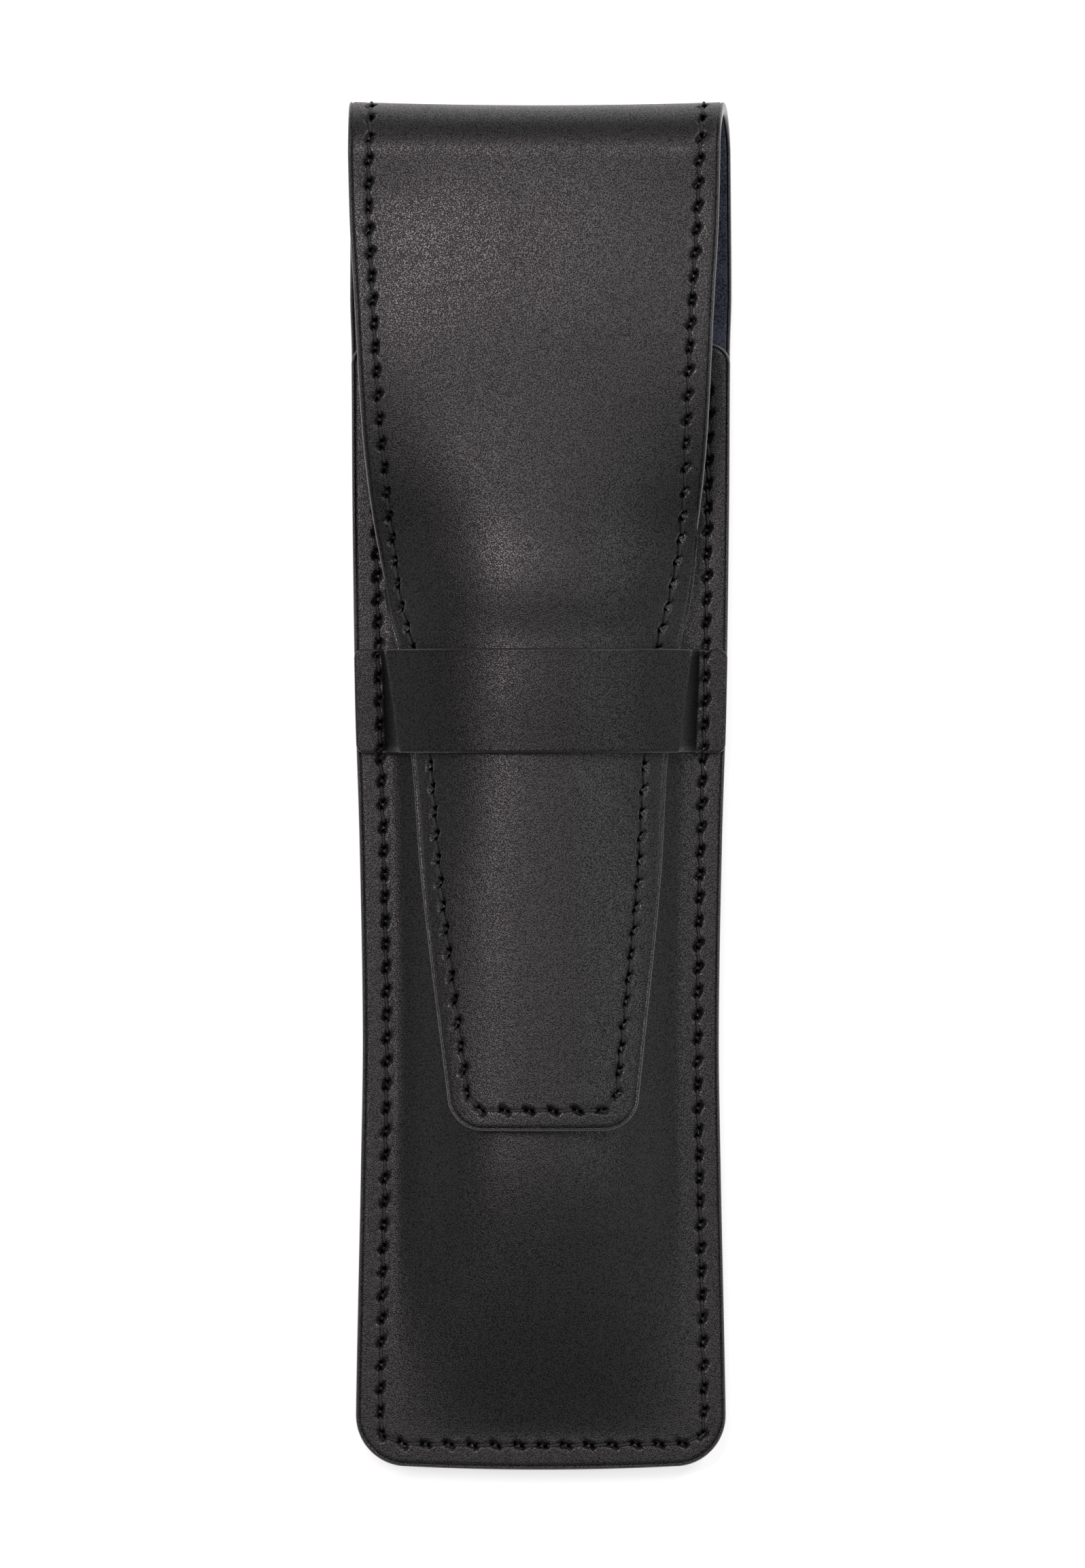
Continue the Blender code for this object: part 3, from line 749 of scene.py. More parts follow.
class SheetMesher:
    """Divides a blank into rings along its edge and a coarser grid inside them."""

    def __init__(self, blank: Blank, plan: RimPlan) -> None:
        """Keep the blank and the plan."""
        self.blank = blank
        self.plan = plan

    def _counts(self) -> tuple[int, int]:
        """Steps down a side and across the end, each a multiple of the thinning.

        Returns:
            The two numbers of steps.
        """
        corner = self.blank.corner
        top = self.blank.shape.mouth_corner
        runs = self.blank.runs(0.0, corner, top)
        steps = [line_length(run) / (self.plan.step * self.plan.thin) for run in runs[:2]]
        return tuple(self.plan.thin * max(2, round(step)) for step in steps)

    def _loops(self, counts: Sequence[int]) -> tuple[list[Array], list[float]]:
        """The rings, from the edge to the inside of the band, and their insets.

        Args:
            counts: Steps on each run.

        Returns:
            The rings and their insets.
        """
        plan, blank = self.plan, self.blank
        corner, top = blank.corner, blank.shape.mouth_corner
        loops = [blank.loop(t, corner - t, top - t, counts) for t in plan.rings]
        first, last = plan.rings[-1], plan.band[-1]
        inner = max(corner - last, plan.inner_corner)
        inmost = blank.loop(last, inner, plan.inner_corner, counts)
        outmost = loops[-1]
        loops += [mix(outmost, inmost, (t - first) / (last - first)) for t in plan.band]
        return loops, [*plan.rings, *plan.band]

    def build(self, filled: bool = True) -> FlatMesh:
        """Places and faces of the whole blank, or of its band alone.

        Args:
            filled: Whether the middle is filled too.

        Returns:
            The flat mesh, its faces counter-clockwise seen from above.
        """
        side, end = self._counts()
        loops, insets = self._loops((side, end, side, end))
        stations = len(loops[0])
        spans = stations if self.blank.closed else stations - 1
        fine = loops[:-1] if filled else loops
        faces = quads(len(fine), stations, spans)
        places = np.concatenate(fine)
        depth = np.repeat(insets[: len(fine)], stations)
        if not filled:
            return FlatMesh(places, depth, faces, stations)
        grid, edge = self._patch(loops[-1], side, end)
        start = len(places)
        rows, columns = grid.shape[:2]
        for group in range(spans // self.plan.thin):
            run = range(group * self.plan.thin, (group + 1) * self.plan.thin + 1)
            outer = [start - stations + station % stations for station in run]
            faces.append((*outer, start + edge[(group + 1) % len(edge)], start + edge[group]))
        faces += [(a, d, c, b) for a, b, c, d in quads(rows, columns, columns - 1, start)]
        places = np.concatenate([places, grid.reshape(-1, 2)])
        depth = np.concatenate([depth, np.full(rows * columns, insets[-1])])
        return FlatMesh(places, depth, faces, stations)

    def _patch(self, loop: Array, side: int, end: int) -> tuple[Array, list[int]]:
        """A grid inside the band, and its edge's places in the order of the band's stations.

        Args:
            loop: The innermost ring.
            side: Steps down a side.
            end: Steps across the end.

        Returns:
            The grid, and the places.
        """
        thin = self.plan.thin
        rows, columns = side // thin, end // thin
        left = loop[0 : side + 1 : thin]
        bottom = loop[side : side + end + 1 : thin]
        right = loop[side + end : 2 * side + end + 1 : thin][::-1]
        share = np.linspace(0.0, 1.0, columns + 1)[:, None]
        if self.blank.closed:
            top = np.concatenate([loop[2 * side + end :: thin], loop[:1]])[::-1]
        else:
            top = mix(left[0], right[0], share)
        u = share[None, :, :]
        v = np.linspace(0.0, 1.0, rows + 1)[:, None, None]
        ruled = mix(top[None], bottom[None], v) + mix(left[:, None], right[:, None], u)
        corners = mix(mix(left[0], right[0], u), mix(left[-1], right[-1], u), v)
        grid = ruled - corners
        wide = columns + 1
        edge = [row * wide for row in range(rows)]
        edge += [rows * wide + column for column in range(columns)]
        edge += [row * wide + columns for row in range(rows, 0, -1)]
        edge += [column for column in range(columns, 0, -1)] if self.blank.closed else [columns]
        return grid, edge


class Attribute(Enum):
    """Marks that a finish reads from a mesh."""

    RIM = "rim"
    SEWN = "sewn"
    SUNK = "sunk"
    # Painted shade on steep walls, read as a lower specular level.
    DULL = "dull"


def add_object(name: str, points: Array, faces: Sequence[Sequence[int]]) -> bpy.types.Object:
    """A mesh object at the origin, shaded smooth.

    Args:
        name: The object's name.
        points: Its vertices, one a row.
        faces: Its faces, as places in points.

    Returns:
        The linked object.
    """
    mesh = bpy.data.meshes.new(name)
    mesh.from_pydata(points.tolist(), [], [tuple(face) for face in faces])
    mesh.shade_smooth()
    thing = bpy.data.objects.new(name, mesh)
    bpy.context.scene.collection.objects.link(thing)
    return thing


def mark(thing: bpy.types.Object, attribute: Attribute, values: Array) -> None:
    """Store one value for each vertex of a mesh."""
    layer = thing.data.attributes.new(attribute.value, "FLOAT", "POINT")
    layer.data.foreach_set("value", values.astype(np.float32))


@dataclass
class Skin:
    """One surface of a sheet: its points, and its faces counter-clockwise from above."""

    points: Array
    faces: list[Face]

    def edges(self) -> dict[int, int]:
        """The open edges, each from its start to its end."""
        sides = {(a, b) for face in self.faces for a, b in zip(face, face[1:] + face[:1])}
        return {a: b for a, b in sides if (b, a) not in sides}


def cut_end(skin: Skin, stations: int) -> list[int]:
    """Places along a sheet's cut end, from its last station to its first.

    Args:
        skin: One surface of the sheet.
        stations: How many points lie along its edge.

    Returns:
        The places, in order.
    """
    edges = skin.edges()
    place = stations - 1
    chain = [place]
    while place:
        place = edges[place]
        chain.append(place)
    return chain


def slab(name: str, outer: Skin, inner: Skin, stations: int, facing: int) -> bpy.types.Object:
    """A closed sheet between an outer and an inner skin.

    Args:
        name: The object's name.
        outer: The outer surface.
        inner: The inner surface, whose first points stand under the outer's first ones.
        stations: How many points the two surfaces' edges share.
        facing: 1 where the outer surface faces up, -1 where it faces down.

    Returns:
        The linked object.
    """
    count = len(outer.points)
    edges = outer.edges()
    shared = {a: b for a, b in edges.items() if a < stations and b < stations}
    faces = [*outer.faces, *(tuple(place + count for place in face[::-1]) for face in inner.faces)]
    faces += [(b, a, a + count, b + count) for a, b in sorted(shared.items())]
    if len(shared) < len(edges):
        under = [place + count for place in cut_end(inner, stations)]
        faces.append((*cut_end(outer, stations)[::-1], *under))
    if facing < 0:
        faces = [face[::-1] for face in faces]
    thing = add_object(name, np.concatenate([outer.points, inner.points]), faces)
    thing.data.set_sharp_from_angle(angle=SHARP_ANGLE)
    return thing


class NodeBuilder:
    """Adds nodes to a tree and feeds them."""

    def __init__(self, tree: bpy.types.NodeTree) -> None:
        """Keep the tree."""
        self.tree = tree

    def put(self, slot: bpy.types.NodeSocket, value: Any) -> None:
        """Link a socket to an input, or set the input to a plain value.

        Args:
            slot: The input.
            value: A socket, a value, or None to leave the input alone.
        """
        if isinstance(value, bpy.types.NodeSocket):
            self.tree.links.new(value, slot)
        elif value is not None:
            slot.default_value = value

    def node(self, kind: str, *inputs: Any, **settings: Any) -> bpy.types.Node:
        """Add a node, set it, and feed its inputs in order.

        Args:
            kind: The node's type.
            *inputs: A socket, a value or None for each of its inputs.
            **settings: Properties of the node.

        Returns:
            The node.
        """
        node = self.tree.nodes.new(kind)
        for name, value in settings.items():
            setattr(node, name, value)
        for slot, value in zip(node.inputs, inputs):
            self.put(slot, value)
        return node

    def feed(self, node: bpy.types.Node, **inputs: Any) -> bpy.types.Node:
        """Feed a node's inputs by name.

        Args:
            node: The node.
            **inputs: A socket or a value for each input, by name with _ for a space.

        Returns:
            The node.
        """
        for name, value in inputs.items():
            self.put(node.inputs[name.replace("_", " ")], value)
        return node

    def sum(self, operation: str, *values: Any) -> bpy.types.NodeSocket:
        """The result of a sum on single values."""
        return self.node("ShaderNodeMath", *values, operation=operation).outputs[0]


class NodeTree(NodeBuilder):
    """A Geometry Nodes tree under construction, with named inputs."""

    def __init__(self, name: str) -> None:
        """Start a tree whose first input and only output are the geometry.

        Args:
            name: The tree's name.
        """
        super().__init__(bpy.data.node_groups.new(name, "GeometryNodeTree"))
        self.tree.is_modifier = True
        geometry = "NodeSocketGeometry"
        self.add_inputs(geometry, "Geometry")
        self.tree.interface.new_socket("Geometry", in_out="OUTPUT", socket_type=geometry)
        self._start = self.tree.nodes.new("NodeGroupInput")

    def add_inputs(self, kind: str, *names: str) -> None:
        """Add named inputs of one kind to the tree."""
        for name in names:
            self.tree.interface.new_socket(name, in_out="INPUT", socket_type=kind)

    def given(self, name: str) -> bpy.types.NodeSocket:
        """The value of a named input."""
        return self._start.outputs[name]

    def read(self, name: str, kind: str) -> bpy.types.NodeSocket:
        """The value of an attribute of the geometry."""
        node = self.node("GeometryNodeInputNamedAttribute", name, data_type=kind)
        return node.outputs["Attribute"]

    def finish(self, geometry: bpy.types.NodeSocket) -> None:
        """Make the geometry real, give it the finish that is handed in, and put it out.

        Args:
            geometry: The finished geometry.
        """
        self.add_inputs("NodeSocketMaterial", "Finish")
        real = self.node("GeometryNodeRealizeInstances", geometry)
        dressed = self.node("GeometryNodeSetMaterial", real.outputs[0])
        self.feed(dressed, Material=self.given("Finish"))
        self.node("NodeGroupOutput", dressed.outputs[0])

    def apply(self, thing: bpy.types.Object, **values: Any) -> None:
        """Run the tree on an object and keep the result as its plain mesh.

        Args:
            thing: The object.
            **values: The inputs, by name with _ for a space.
        """
        modifier = thing.modifiers.new(self.tree.name, "NODES")
        modifier.node_group = self.tree
        for item in self.tree.interface.items_tree:
            key = item.name.replace(" ", "_")
            if item.in_out == "INPUT" and key in values:
                modifier[item.identifier] = values[key]
        bpy.context.view_layer.update()
        graph = bpy.context.evaluated_depsgraph_get()
        mesh = bpy.data.meshes.new_from_object(
            thing.evaluated_get(graph), preserve_all_data_layers=True, depsgraph=graph
        )
        thing.modifiers.remove(modifier)
        mesh.name = thing.name
        thing.data = mesh


def dimple_tree() -> NodeTree:
    """A tree that draws leather in at each stitch hole and along the line of stitches.

    Returns:
        The tree.
    """
    tree = NodeTree("draw_in_stitches")
    tree.add_inputs("NodeSocketObject", "Holes", "Seam")
    sizes = ("Hole Radius", "Hole Depth", "Groove Radius", "Groove Depth", "Raggedness")
    tree.add_inputs("NodeSocketFloat", *sizes)
    torn = tree.feed(tree.node("ShaderNodeTexNoise"), Scale=TORN_SCALE, Detail=TORN_DETAIL)
    ragged = tree.sum("SUBTRACT", torn.outputs["Fac"], 0.5)
    ragged = tree.sum("MULTIPLY", ragged, tree.given("Raggedness"))
    shares, depths = [], []
    for part, guide in (("Hole", "Holes"), ("Groove", "Seam")):
        lines = tree.node("GeometryNodeObjectInfo", tree.given(guide)).outputs["Geometry"]
        near = tree.node("GeometryNodeProximity", lines, target_element="EDGES")
        distance = tree.sum("ADD", near.outputs["Distance"], ragged)
        share = tree.node("ShaderNodeMapRange", distance, 0.0, tree.given(f"{part} Radius"), 1.0,
                          0.0, interpolation_type="SMOOTHSTEP").outputs[0]
        shares.append(share)
        depths.append(tree.sum("MULTIPLY", share, tree.given(f"{part} Depth")))
    depth = tree.sum("MULTIPLY", tree.sum("ADD", *depths), -1.0)
    normal = tree.node("GeometryNodeInputNormal").outputs[0]
    offset = tree.feed(tree.node("ShaderNodeVectorMath", normal, operation="SCALE"), Scale=depth)
    moved = tree.node("GeometryNodeSetPosition", tree.given("Geometry"))
    tree.feed(moved, Offset=offset.outputs[0])
    marked = tree.node("GeometryNodeStoreNamedAttribute", moved.outputs[0], domain="POINT")
    tree.feed(marked, Name=Attribute.SEWN.value, Value=shares[0])
    tree.finish(marked.outputs[0])
    return tree


def stitch_tree() -> NodeTree:
    """A tree that lays one stitch on each edge of a seam.

    Returns:
        The tree.
    """
    tree = NodeTree("lay_stitches")
    tree.add_inputs("NodeSocketObject", "Stitch")
    tree.add_inputs("NodeSocketFloat", "Stitch Length", "Slant", "Unevenness")
    tree.add_inputs("NodeSocketInt", "Seed")
    ends = tree.node("GeometryNodeInputMeshEdgeVertices").outputs
    along = tree.node("ShaderNodeVectorMath", ends["Position 2"], ends["Position 1"],
                      operation="SUBTRACT").outputs[0]
    length = tree.node("ShaderNodeVectorMath", along, operation="LENGTH").outputs["Value"]
    stored = tree.given("Geometry")
    for name, kind, value in (("along", "FLOAT_VECTOR", along), ("span", "FLOAT", length)):
        keep = tree.node("GeometryNodeStoreNamedAttribute", stored, domain="EDGE", data_type=kind)
        stored = tree.feed(keep, Name=name, Value=value).outputs[0]
    points = tree.node("GeometryNodeMeshToPoints", stored, mode="EDGES")
    ways = [tree.read(name, "FLOAT_VECTOR") for name in ("along", "outward")]
    turn = tree.node("FunctionNodeAxesToRotation", *ways, primary_axis="X", secondary_axis="Z")
    stretch = tree.sum("DIVIDE", tree.read("span", "FLOAT"), tree.given("Stitch Length"))
    size = tree.node("ShaderNodeCombineXYZ", stretch, 1.0, 1.0)
    stitch = tree.node("GeometryNodeObjectInfo", tree.given("Stitch")).outputs["Geometry"]
    laid = tree.node("GeometryNodeInstanceOnPoints", points.outputs[0])
    tree.feed(laid, Instance=stitch, Rotation=turn.outputs[0], Scale=size.outputs[0])
    low, high = (tree.sum(operation, tree.given("Slant"), tree.given("Unevenness"))
                 for operation in ("SUBTRACT", "ADD"))
    wobble = tree.node("FunctionNodeRandomValue", None, None, low, high, data_type="FLOAT")
    tree.feed(wobble, Seed=tree.given("Seed"))
    swing = tree.node("ShaderNodeCombineXYZ", 0.0, 0.0, wobble.outputs[1])
    swung = tree.node("GeometryNodeRotateInstances", laid.outputs[0])
    tree.feed(swung, Rotation=swing.outputs[0])
    tree.finish(swung.outputs[0])
    return tree


def bend_tree() -> NodeTree:
    """A tree that bends what lies past the fold's start round the fold's centre line.

    Returns:
        The tree.
    """
    tree = NodeTree("bend_round_fold")
    sizes = ("Fold Start", "Fold Height", "Fold Radius", "Dip", "Half Width")
    tree.add_inputs("NodeSocketFloat", *sizes)
    start, height, radius, dip, half_width = (tree.given(name) for name in sizes)
    place = tree.node("GeometryNodeInputPosition").outputs[0]
    parts = tree.node("ShaderNodeSeparateXYZ", place).outputs
    past = tree.sum("SUBTRACT", parts[1], start)
    angle = tree.sum("MAXIMUM", tree.sum("DIVIDE", past, radius), 0.0)
    reach = tree.sum("SUBTRACT", parts[2], height)
    across = tree.sum("DIVIDE", parts[0], half_width)
    level = tree.sum("SUBTRACT", 1.0, tree.sum("MULTIPLY", across, across))
    sine = tree.sum("SINE", angle)
    dip = tree.sum("MULTIPLY", tree.sum("MULTIPLY", level, sine), dip)
    out = tree.sum("MULTIPLY", tree.sum("ABSOLUTE", reach), sine)
    new_y = tree.sum("SUBTRACT", tree.sum("ADD", start, out), dip)
    drop = tree.sum("MULTIPLY", reach, tree.sum("COSINE", angle))
    new_z = tree.sum("ADD", height, drop)
    bent = tree.node("ShaderNodeCombineXYZ", parts[0], new_y, new_z).outputs[0]
    moved = tree.node("GeometryNodeSetPosition", tree.given("Geometry"))
    tree.feed(moved, Selection=tree.sum("GREATER_THAN", past, 0.0), Position=bent)
    tree.finish(moved.outputs[0])
    return tree


class Shader(NodeBuilder):
    """A Principled material under construction."""

    def __init__(self, name: str) -> None:
        """Start with the default shader and Object coordinates, turned askew for the noises.

        Args:
            name: The material's name.
        """
        self.material = bpy.data.materials.new(name)
        self.material.use_nodes = True
        super().__init__(self.material.node_tree)
        self.surface = self.tree.nodes["Principled BSDF"]
        place = self.node("ShaderNodeTexCoord").outputs["Object"]
        askew = self.node("ShaderNodeVectorRotate", place, rotation_type="AXIS_ANGLE")
        self.feed(askew, Axis=ASKEW_AXIS, Angle=ASKEW_ANGLE)
        self.place = askew.outputs["Vector"]

    def noise(self, size: float, detail: float = 2.0, roughness: float = 0.5) -> Any:
        """Noise on the material's place.

        Args:
            size: About how many metres its features are across.
            detail: How many finer layers it has.
            roughness: How strong the finer layers are.

        Returns:
            The noise, from 0 to 1.
        """
        node = self.node("ShaderNodeTexNoise")
        self.feed(node, Vector=self.place, Scale=1 / size, Detail=detail, Roughness=roughness)
        return node.outputs["Fac"]

    def ramp(
        self, value: Any, low: float, high: float, start: float = 0.0, end: float = 1.0
    ) -> Any:
        """A value mapped from low and high to start and end, and held inside them."""
        return self.node("ShaderNodeMapRange", value, low, high, start, end).outputs[0]

    def fade(self, value: Any, share: Any) -> Any:
        """A value, less a share of it."""
        return self.sum("MULTIPLY", self.sum("SUBTRACT", 1.0, share), value)

    def tint(self, share: Any, first: Any, second: Any) -> Any:
        """A blend of two colours.

        Args:
            share: How much of the second.
            first: A colour or a socket.
            second: A colour or a socket.

        Returns:
            The blend.
        """
        node = self.node("ShaderNodeMix", share, data_type="RGBA")
        for slot, colour in zip((node.inputs[6], node.inputs[7]), (first, second)):
            linked = isinstance(colour, bpy.types.NodeSocket)
            self.put(slot, colour if linked else (*colour, 1.0))
        return node.outputs[2]

    def mark(self, attribute: Attribute) -> bpy.types.NodeSocket:
        """A mark that the mesh carries."""
        node = self.node("ShaderNodeAttribute", attribute_name=attribute.value)
        return node.outputs["Fac"]

    def bump(self, height: Any, depth: float, strength: float = 1.0, before: Any = None) -> Any:
        """A bump on top of another.

        Args:
            height: Its height, from 0 to 1.
            depth: The depth in metres that a height of 1 stands for.
            strength: How much of it shows.
            before: The bump under it, or none.

        Returns:
            The normal.
        """
        node = self.node("ShaderNodeBump")
        self.feed(node, Height=height, Distance=depth, Strength=strength, Normal=before)
        return node.outputs[0]


@dataclass(frozen=True)
class LeatherFinish:
    """Smooth black leather with a fine pebbled grain and edge-painted, creased edges. Its colour also carries painted
    light: painted shade in the grain's valleys, the creases and the stitch holes, a painted highlight line along the
    edges and painted glints round the holes.

    The ranges say where a mark of the mesh or a noise starts to show and where it is full.
    """

    name: str = "black_leather"
    colour: Colour = (0.0105, 0.0098, 0.0101)
    # Painted shade: the grain's valleys take this darker colour and a lower specular level.
    valley: Colour = (0.0012, 0.0011, 0.0012)
    # Colour of the painted highlight line along the edges.
    edge_colour: Colour = (0.085, 0.081, 0.084)
    # Near-black of the painted shade in the stitch holes and the creases.
    hole_colour: Colour = (0.0008, 0.0008, 0.0008)
    # Colour of the painted glints round the stitch holes.
    fleck_colour: Colour = (0.075, 0.072, 0.074)
    grain: float = 0.00013
    grain_depth: float = 0.000015
    grain_range: Range = (0.36, 0.62)
    patch_grains: float = 7.0
    patch_lean: float = 0.06
    torn: float = 0.00020
    torn_lean: float = 0.9
    lip_depth: float = 0.00008
    fleck_range: Range = (0.09, 0.15)
    fleck_reach: Range = (0.05, 0.2)
    hole_range: Range = (0.30, 0.46)
    crease_inside: Range = (0.14, 0.24)
    crease_outside: Range = (0.34, 0.46)
    paint_range: Range = (0.5, 0.8)
    line_range: Range = (0.64, 0.78)
    wave: float = 0.009
    wave_depth: float = 0.00003
    wear_waves: float = 0.7
    wear: float = 0.10
    roughness: float = 0.32
    valley_roughness: float = 0.44
    edge_roughness: float = 0.26
    hole_roughness: float = 0.5
    specular: float = 0.76
    valley_specular: float = 0.24
    dullness: float = 0.50

    def _grain(self, shader: Shader) -> bpy.types.NodeSocket:
        """Height of the grain.

        Args:
            shader: The material.

        Returns:
            1 on its ridges and 0 in its valleys.
        """
        fine = shader.noise(self.grain, detail=0.0)
        coarse = shader.noise(self.grain * self.patch_grains, detail=1.0)
        lean = shader.sum("MULTIPLY", shader.sum("SUBTRACT", coarse, 0.5), self.patch_lean)
        return shader.ramp(shader.sum("ADD", fine, lean), *self.grain_range)

    def _roughness(self, shader: Shader, grain: Any, paint: Any, hole: Any) -> Any:
        """Roughness of the worn grain, the painted edge and the holes.

        Args:
            shader: The material.
            grain: Height of the grain.
            paint: Where the edge is painted.
            hole: Where a hole is.

        Returns:
            The roughness.
        """
        wear = shader.noise(self.wave * self.wear_waves, detail=3.0)
        worn = shader.sum("MULTIPLY", shader.sum("SUBTRACT", wear, 0.5), self.wear)
        rough = shader.ramp(grain, 0.0, 1.0, self.valley_roughness, self.roughness)
        rough = shader.sum("ADD", rough, worn)
        step = shader.sum("SUBTRACT", self.edge_roughness, rough)
        rough = shader.sum("ADD", rough, shader.sum("MULTIPLY", paint, step))
        return shader.sum("ADD", rough, shader.sum("MULTIPLY", hole, self.hole_roughness))

    def material(self) -> bpy.types.Material:
        """Build the material.

        Returns:
            The material.
        """
        shader = Shader(self.name)
        grain = self._grain(shader)
        rim, sewn = shader.mark(Attribute.RIM), shader.mark(Attribute.SEWN)
        paint = shader.ramp(rim, *self.paint_range)
        # Painted highlight: a pale line along the very edge stands for light caught on the rounded rim.
        line = shader.ramp(rim, *self.line_range)
        # Painted shade in the crease along each edge: a narrow band inside the rim is tinted near-black.
        inside = shader.ramp(rim, *self.crease_inside)
        outside = shader.ramp(rim, *self.crease_outside)
        crease = shader.fade(inside, outside)
        torn = shader.sum("SUBTRACT", shader.noise(self.torn, detail=1.0), 0.5)
        # Painted shade in the stitch holes: the ragged hole area is tinted near-black and loses its specular level.
        ragged = shader.sum("ADD", sewn, shader.sum("MULTIPLY", torn, self.torn_lean))
        hole = shader.ramp(ragged, *self.hole_range)
        # Painted glints: light specks round the stitch holes stand for light caught on the torn lips and the thread.
        glint = shader.ramp(torn, *self.fleck_range)
        glint = shader.sum("MULTIPLY", glint, shader.ramp(sewn, *self.fleck_reach))
        # Painted shade in the grain's valleys: they are darker in colour and lower in specular level than the ridges.
        colour = shader.tint(grain, self.valley, self.colour)
        for share, over in (
            (crease, self.hole_colour),
            (paint, self.colour),
            (line, self.edge_colour),
            (glint, self.fleck_colour),
            (hole, self.hole_colour),
        ):
            colour = shader.tint(share, colour, over)
        rough = self._roughness(shader, grain, paint, hole)
        shine = shader.ramp(grain, 0.0, 1.0, self.valley_specular, self.specular)
        # Painted shade on the strap's steep walls: their specular level is lowered.
        dull = shader.sum("MULTIPLY", shader.mark(Attribute.DULL), self.dullness)
        shine = shader.fade(shader.fade(shine, hole), dull)
        bumps = shader.bump(shader.noise(self.wave), self.wave_depth)
        lips = shader.sum("MULTIPLY", sewn, torn)
        bumps = shader.bump(lips, self.lip_depth, before=bumps)
        bumps = shader.bump(shader.fade(grain, paint), self.grain_depth, before=bumps)
        shader.feed(shader.surface, Base_Color=colour, Normal=bumps)
        shader.feed(shader.surface, Roughness=rough, Specular_IOR_Level=shine)
        return shader.material


# Painted shade: a shaded copy of the leather for the strap, with a lower specular level and a dimmer painted edge
# highlight; the strap is the same leather.
SHADED_STRAP_FINISH = LeatherFinish(
    "matt_black_leather", edge_colour=(0.030, 0.029, 0.030), specular=0.60, valley_specular=0.19
)


@dataclass(frozen=True)
class SuedeFinish:
    """Matt navy suede with a short nap."""

    name: str = "navy_suede"
    colour: Colour = (0.008, 0.010, 0.018)
    light: Colour = (0.075, 0.082, 0.115)
    nap: float = 0.00022
    nap_roughness: float = 0.6
    nap_depth: float = 0.00010
    patch: float = 0.004
    patch_lean: float = 0.3
    light_range: Range = (0.56, 0.76)
    roughness: float = 0.95
    specular: float = 0.15
    sheen: float = 0.35
    sheen_roughness: float = 0.6
    sheen_tint: Colour = (0.45, 0.50, 0.65)

    def material(self) -> bpy.types.Material:
        """Build the material.

        Returns:
            The material.
        """
        shader = Shader(self.name)
        nap = shader.noise(self.nap, detail=3.0, roughness=self.nap_roughness)
        patches = shader.sum("MULTIPLY", shader.noise(self.patch), self.patch_lean)
        share = shader.ramp(shader.sum("ADD", nap, patches), *self.light_range)
        colour = shader.tint(share, self.colour, self.light)
        bumps = shader.bump(nap, self.nap_depth)
        shader.feed(shader.surface, Base_Color=colour, Normal=bumps)
        shader.feed(shader.surface, Roughness=self.roughness, Specular_IOR_Level=self.specular)
        shader.feed(shader.surface, Sheen_Weight=self.sheen, Sheen_Roughness=self.sheen_roughness)
        shader.feed(shader.surface, Sheen_Tint=(*self.sheen_tint, 1.0))
        return shader.material


@dataclass(frozen=True)
class ThreadFinish:
    """Bonded black sewing thread, with painted shade where it dives into a hole."""

    name: str = "black_thread"
    colour: Colour = (0.0035, 0.0035, 0.0037)
    light: Colour = (0.026, 0.025, 0.026)
    sunk_colour: Colour = (0.0006, 0.0006, 0.0006)
    sunk_range: Range = (0.02, 0.22)
    fibre: float = 0.00013
    fibre_range: Range = (0.35, 0.65)
    fibre_depth: float = 0.00004
    fibre_strength: float = 0.8
    roughness: float = 0.50
    specular: float = 0.45

    def material(self) -> bpy.types.Material:
        """Build the material.

        Returns:
            The material.
        """
        shader = Shader(self.name)
        fibres = shader.ramp(shader.noise(self.fibre), *self.fibre_range)
        lit = shader.tint(fibres, self.colour, self.light)
        # Painted shade where the thread dives into a hole: a darker colour and less specular.
        sunk = shader.ramp(shader.mark(Attribute.SUNK), *self.sunk_range)
        colour = shader.tint(sunk, lit, self.sunk_colour)
        bumps = shader.bump(fibres, self.fibre_depth, self.fibre_strength)
        shine = shader.fade(self.specular, sunk)
        shader.feed(shader.surface, Base_Color=colour, Normal=bumps)
        shader.feed(shader.surface, Roughness=self.roughness, Specular_IOR_Level=shine)
        return shader.material


@dataclass(frozen=True)
class Seam:
    """Hidden guides of a line of stitches: an edge for each stitch and for each slanted hole."""

    stitches: bpy.types.Object
    holes: bpy.types.Object


def guide_lines(name: str, points: Array, edges: Sequence[Sequence[int]]) -> bpy.types.Object:
    """A hidden object of plain edges that a tree reads.

    Args:
        name: The object's name.
        points: Its points, one a row.
        edges: Its edges, as places in points.

    Returns:
        The object.
    """
    guide = add_object(name, points, [])
    guide.data.edges.add(len(edges))
    guide.data.edges.foreach_set("vertices", np.array(edges, dtype=np.int32).ravel())
    guide.hide_render = True
    return guide


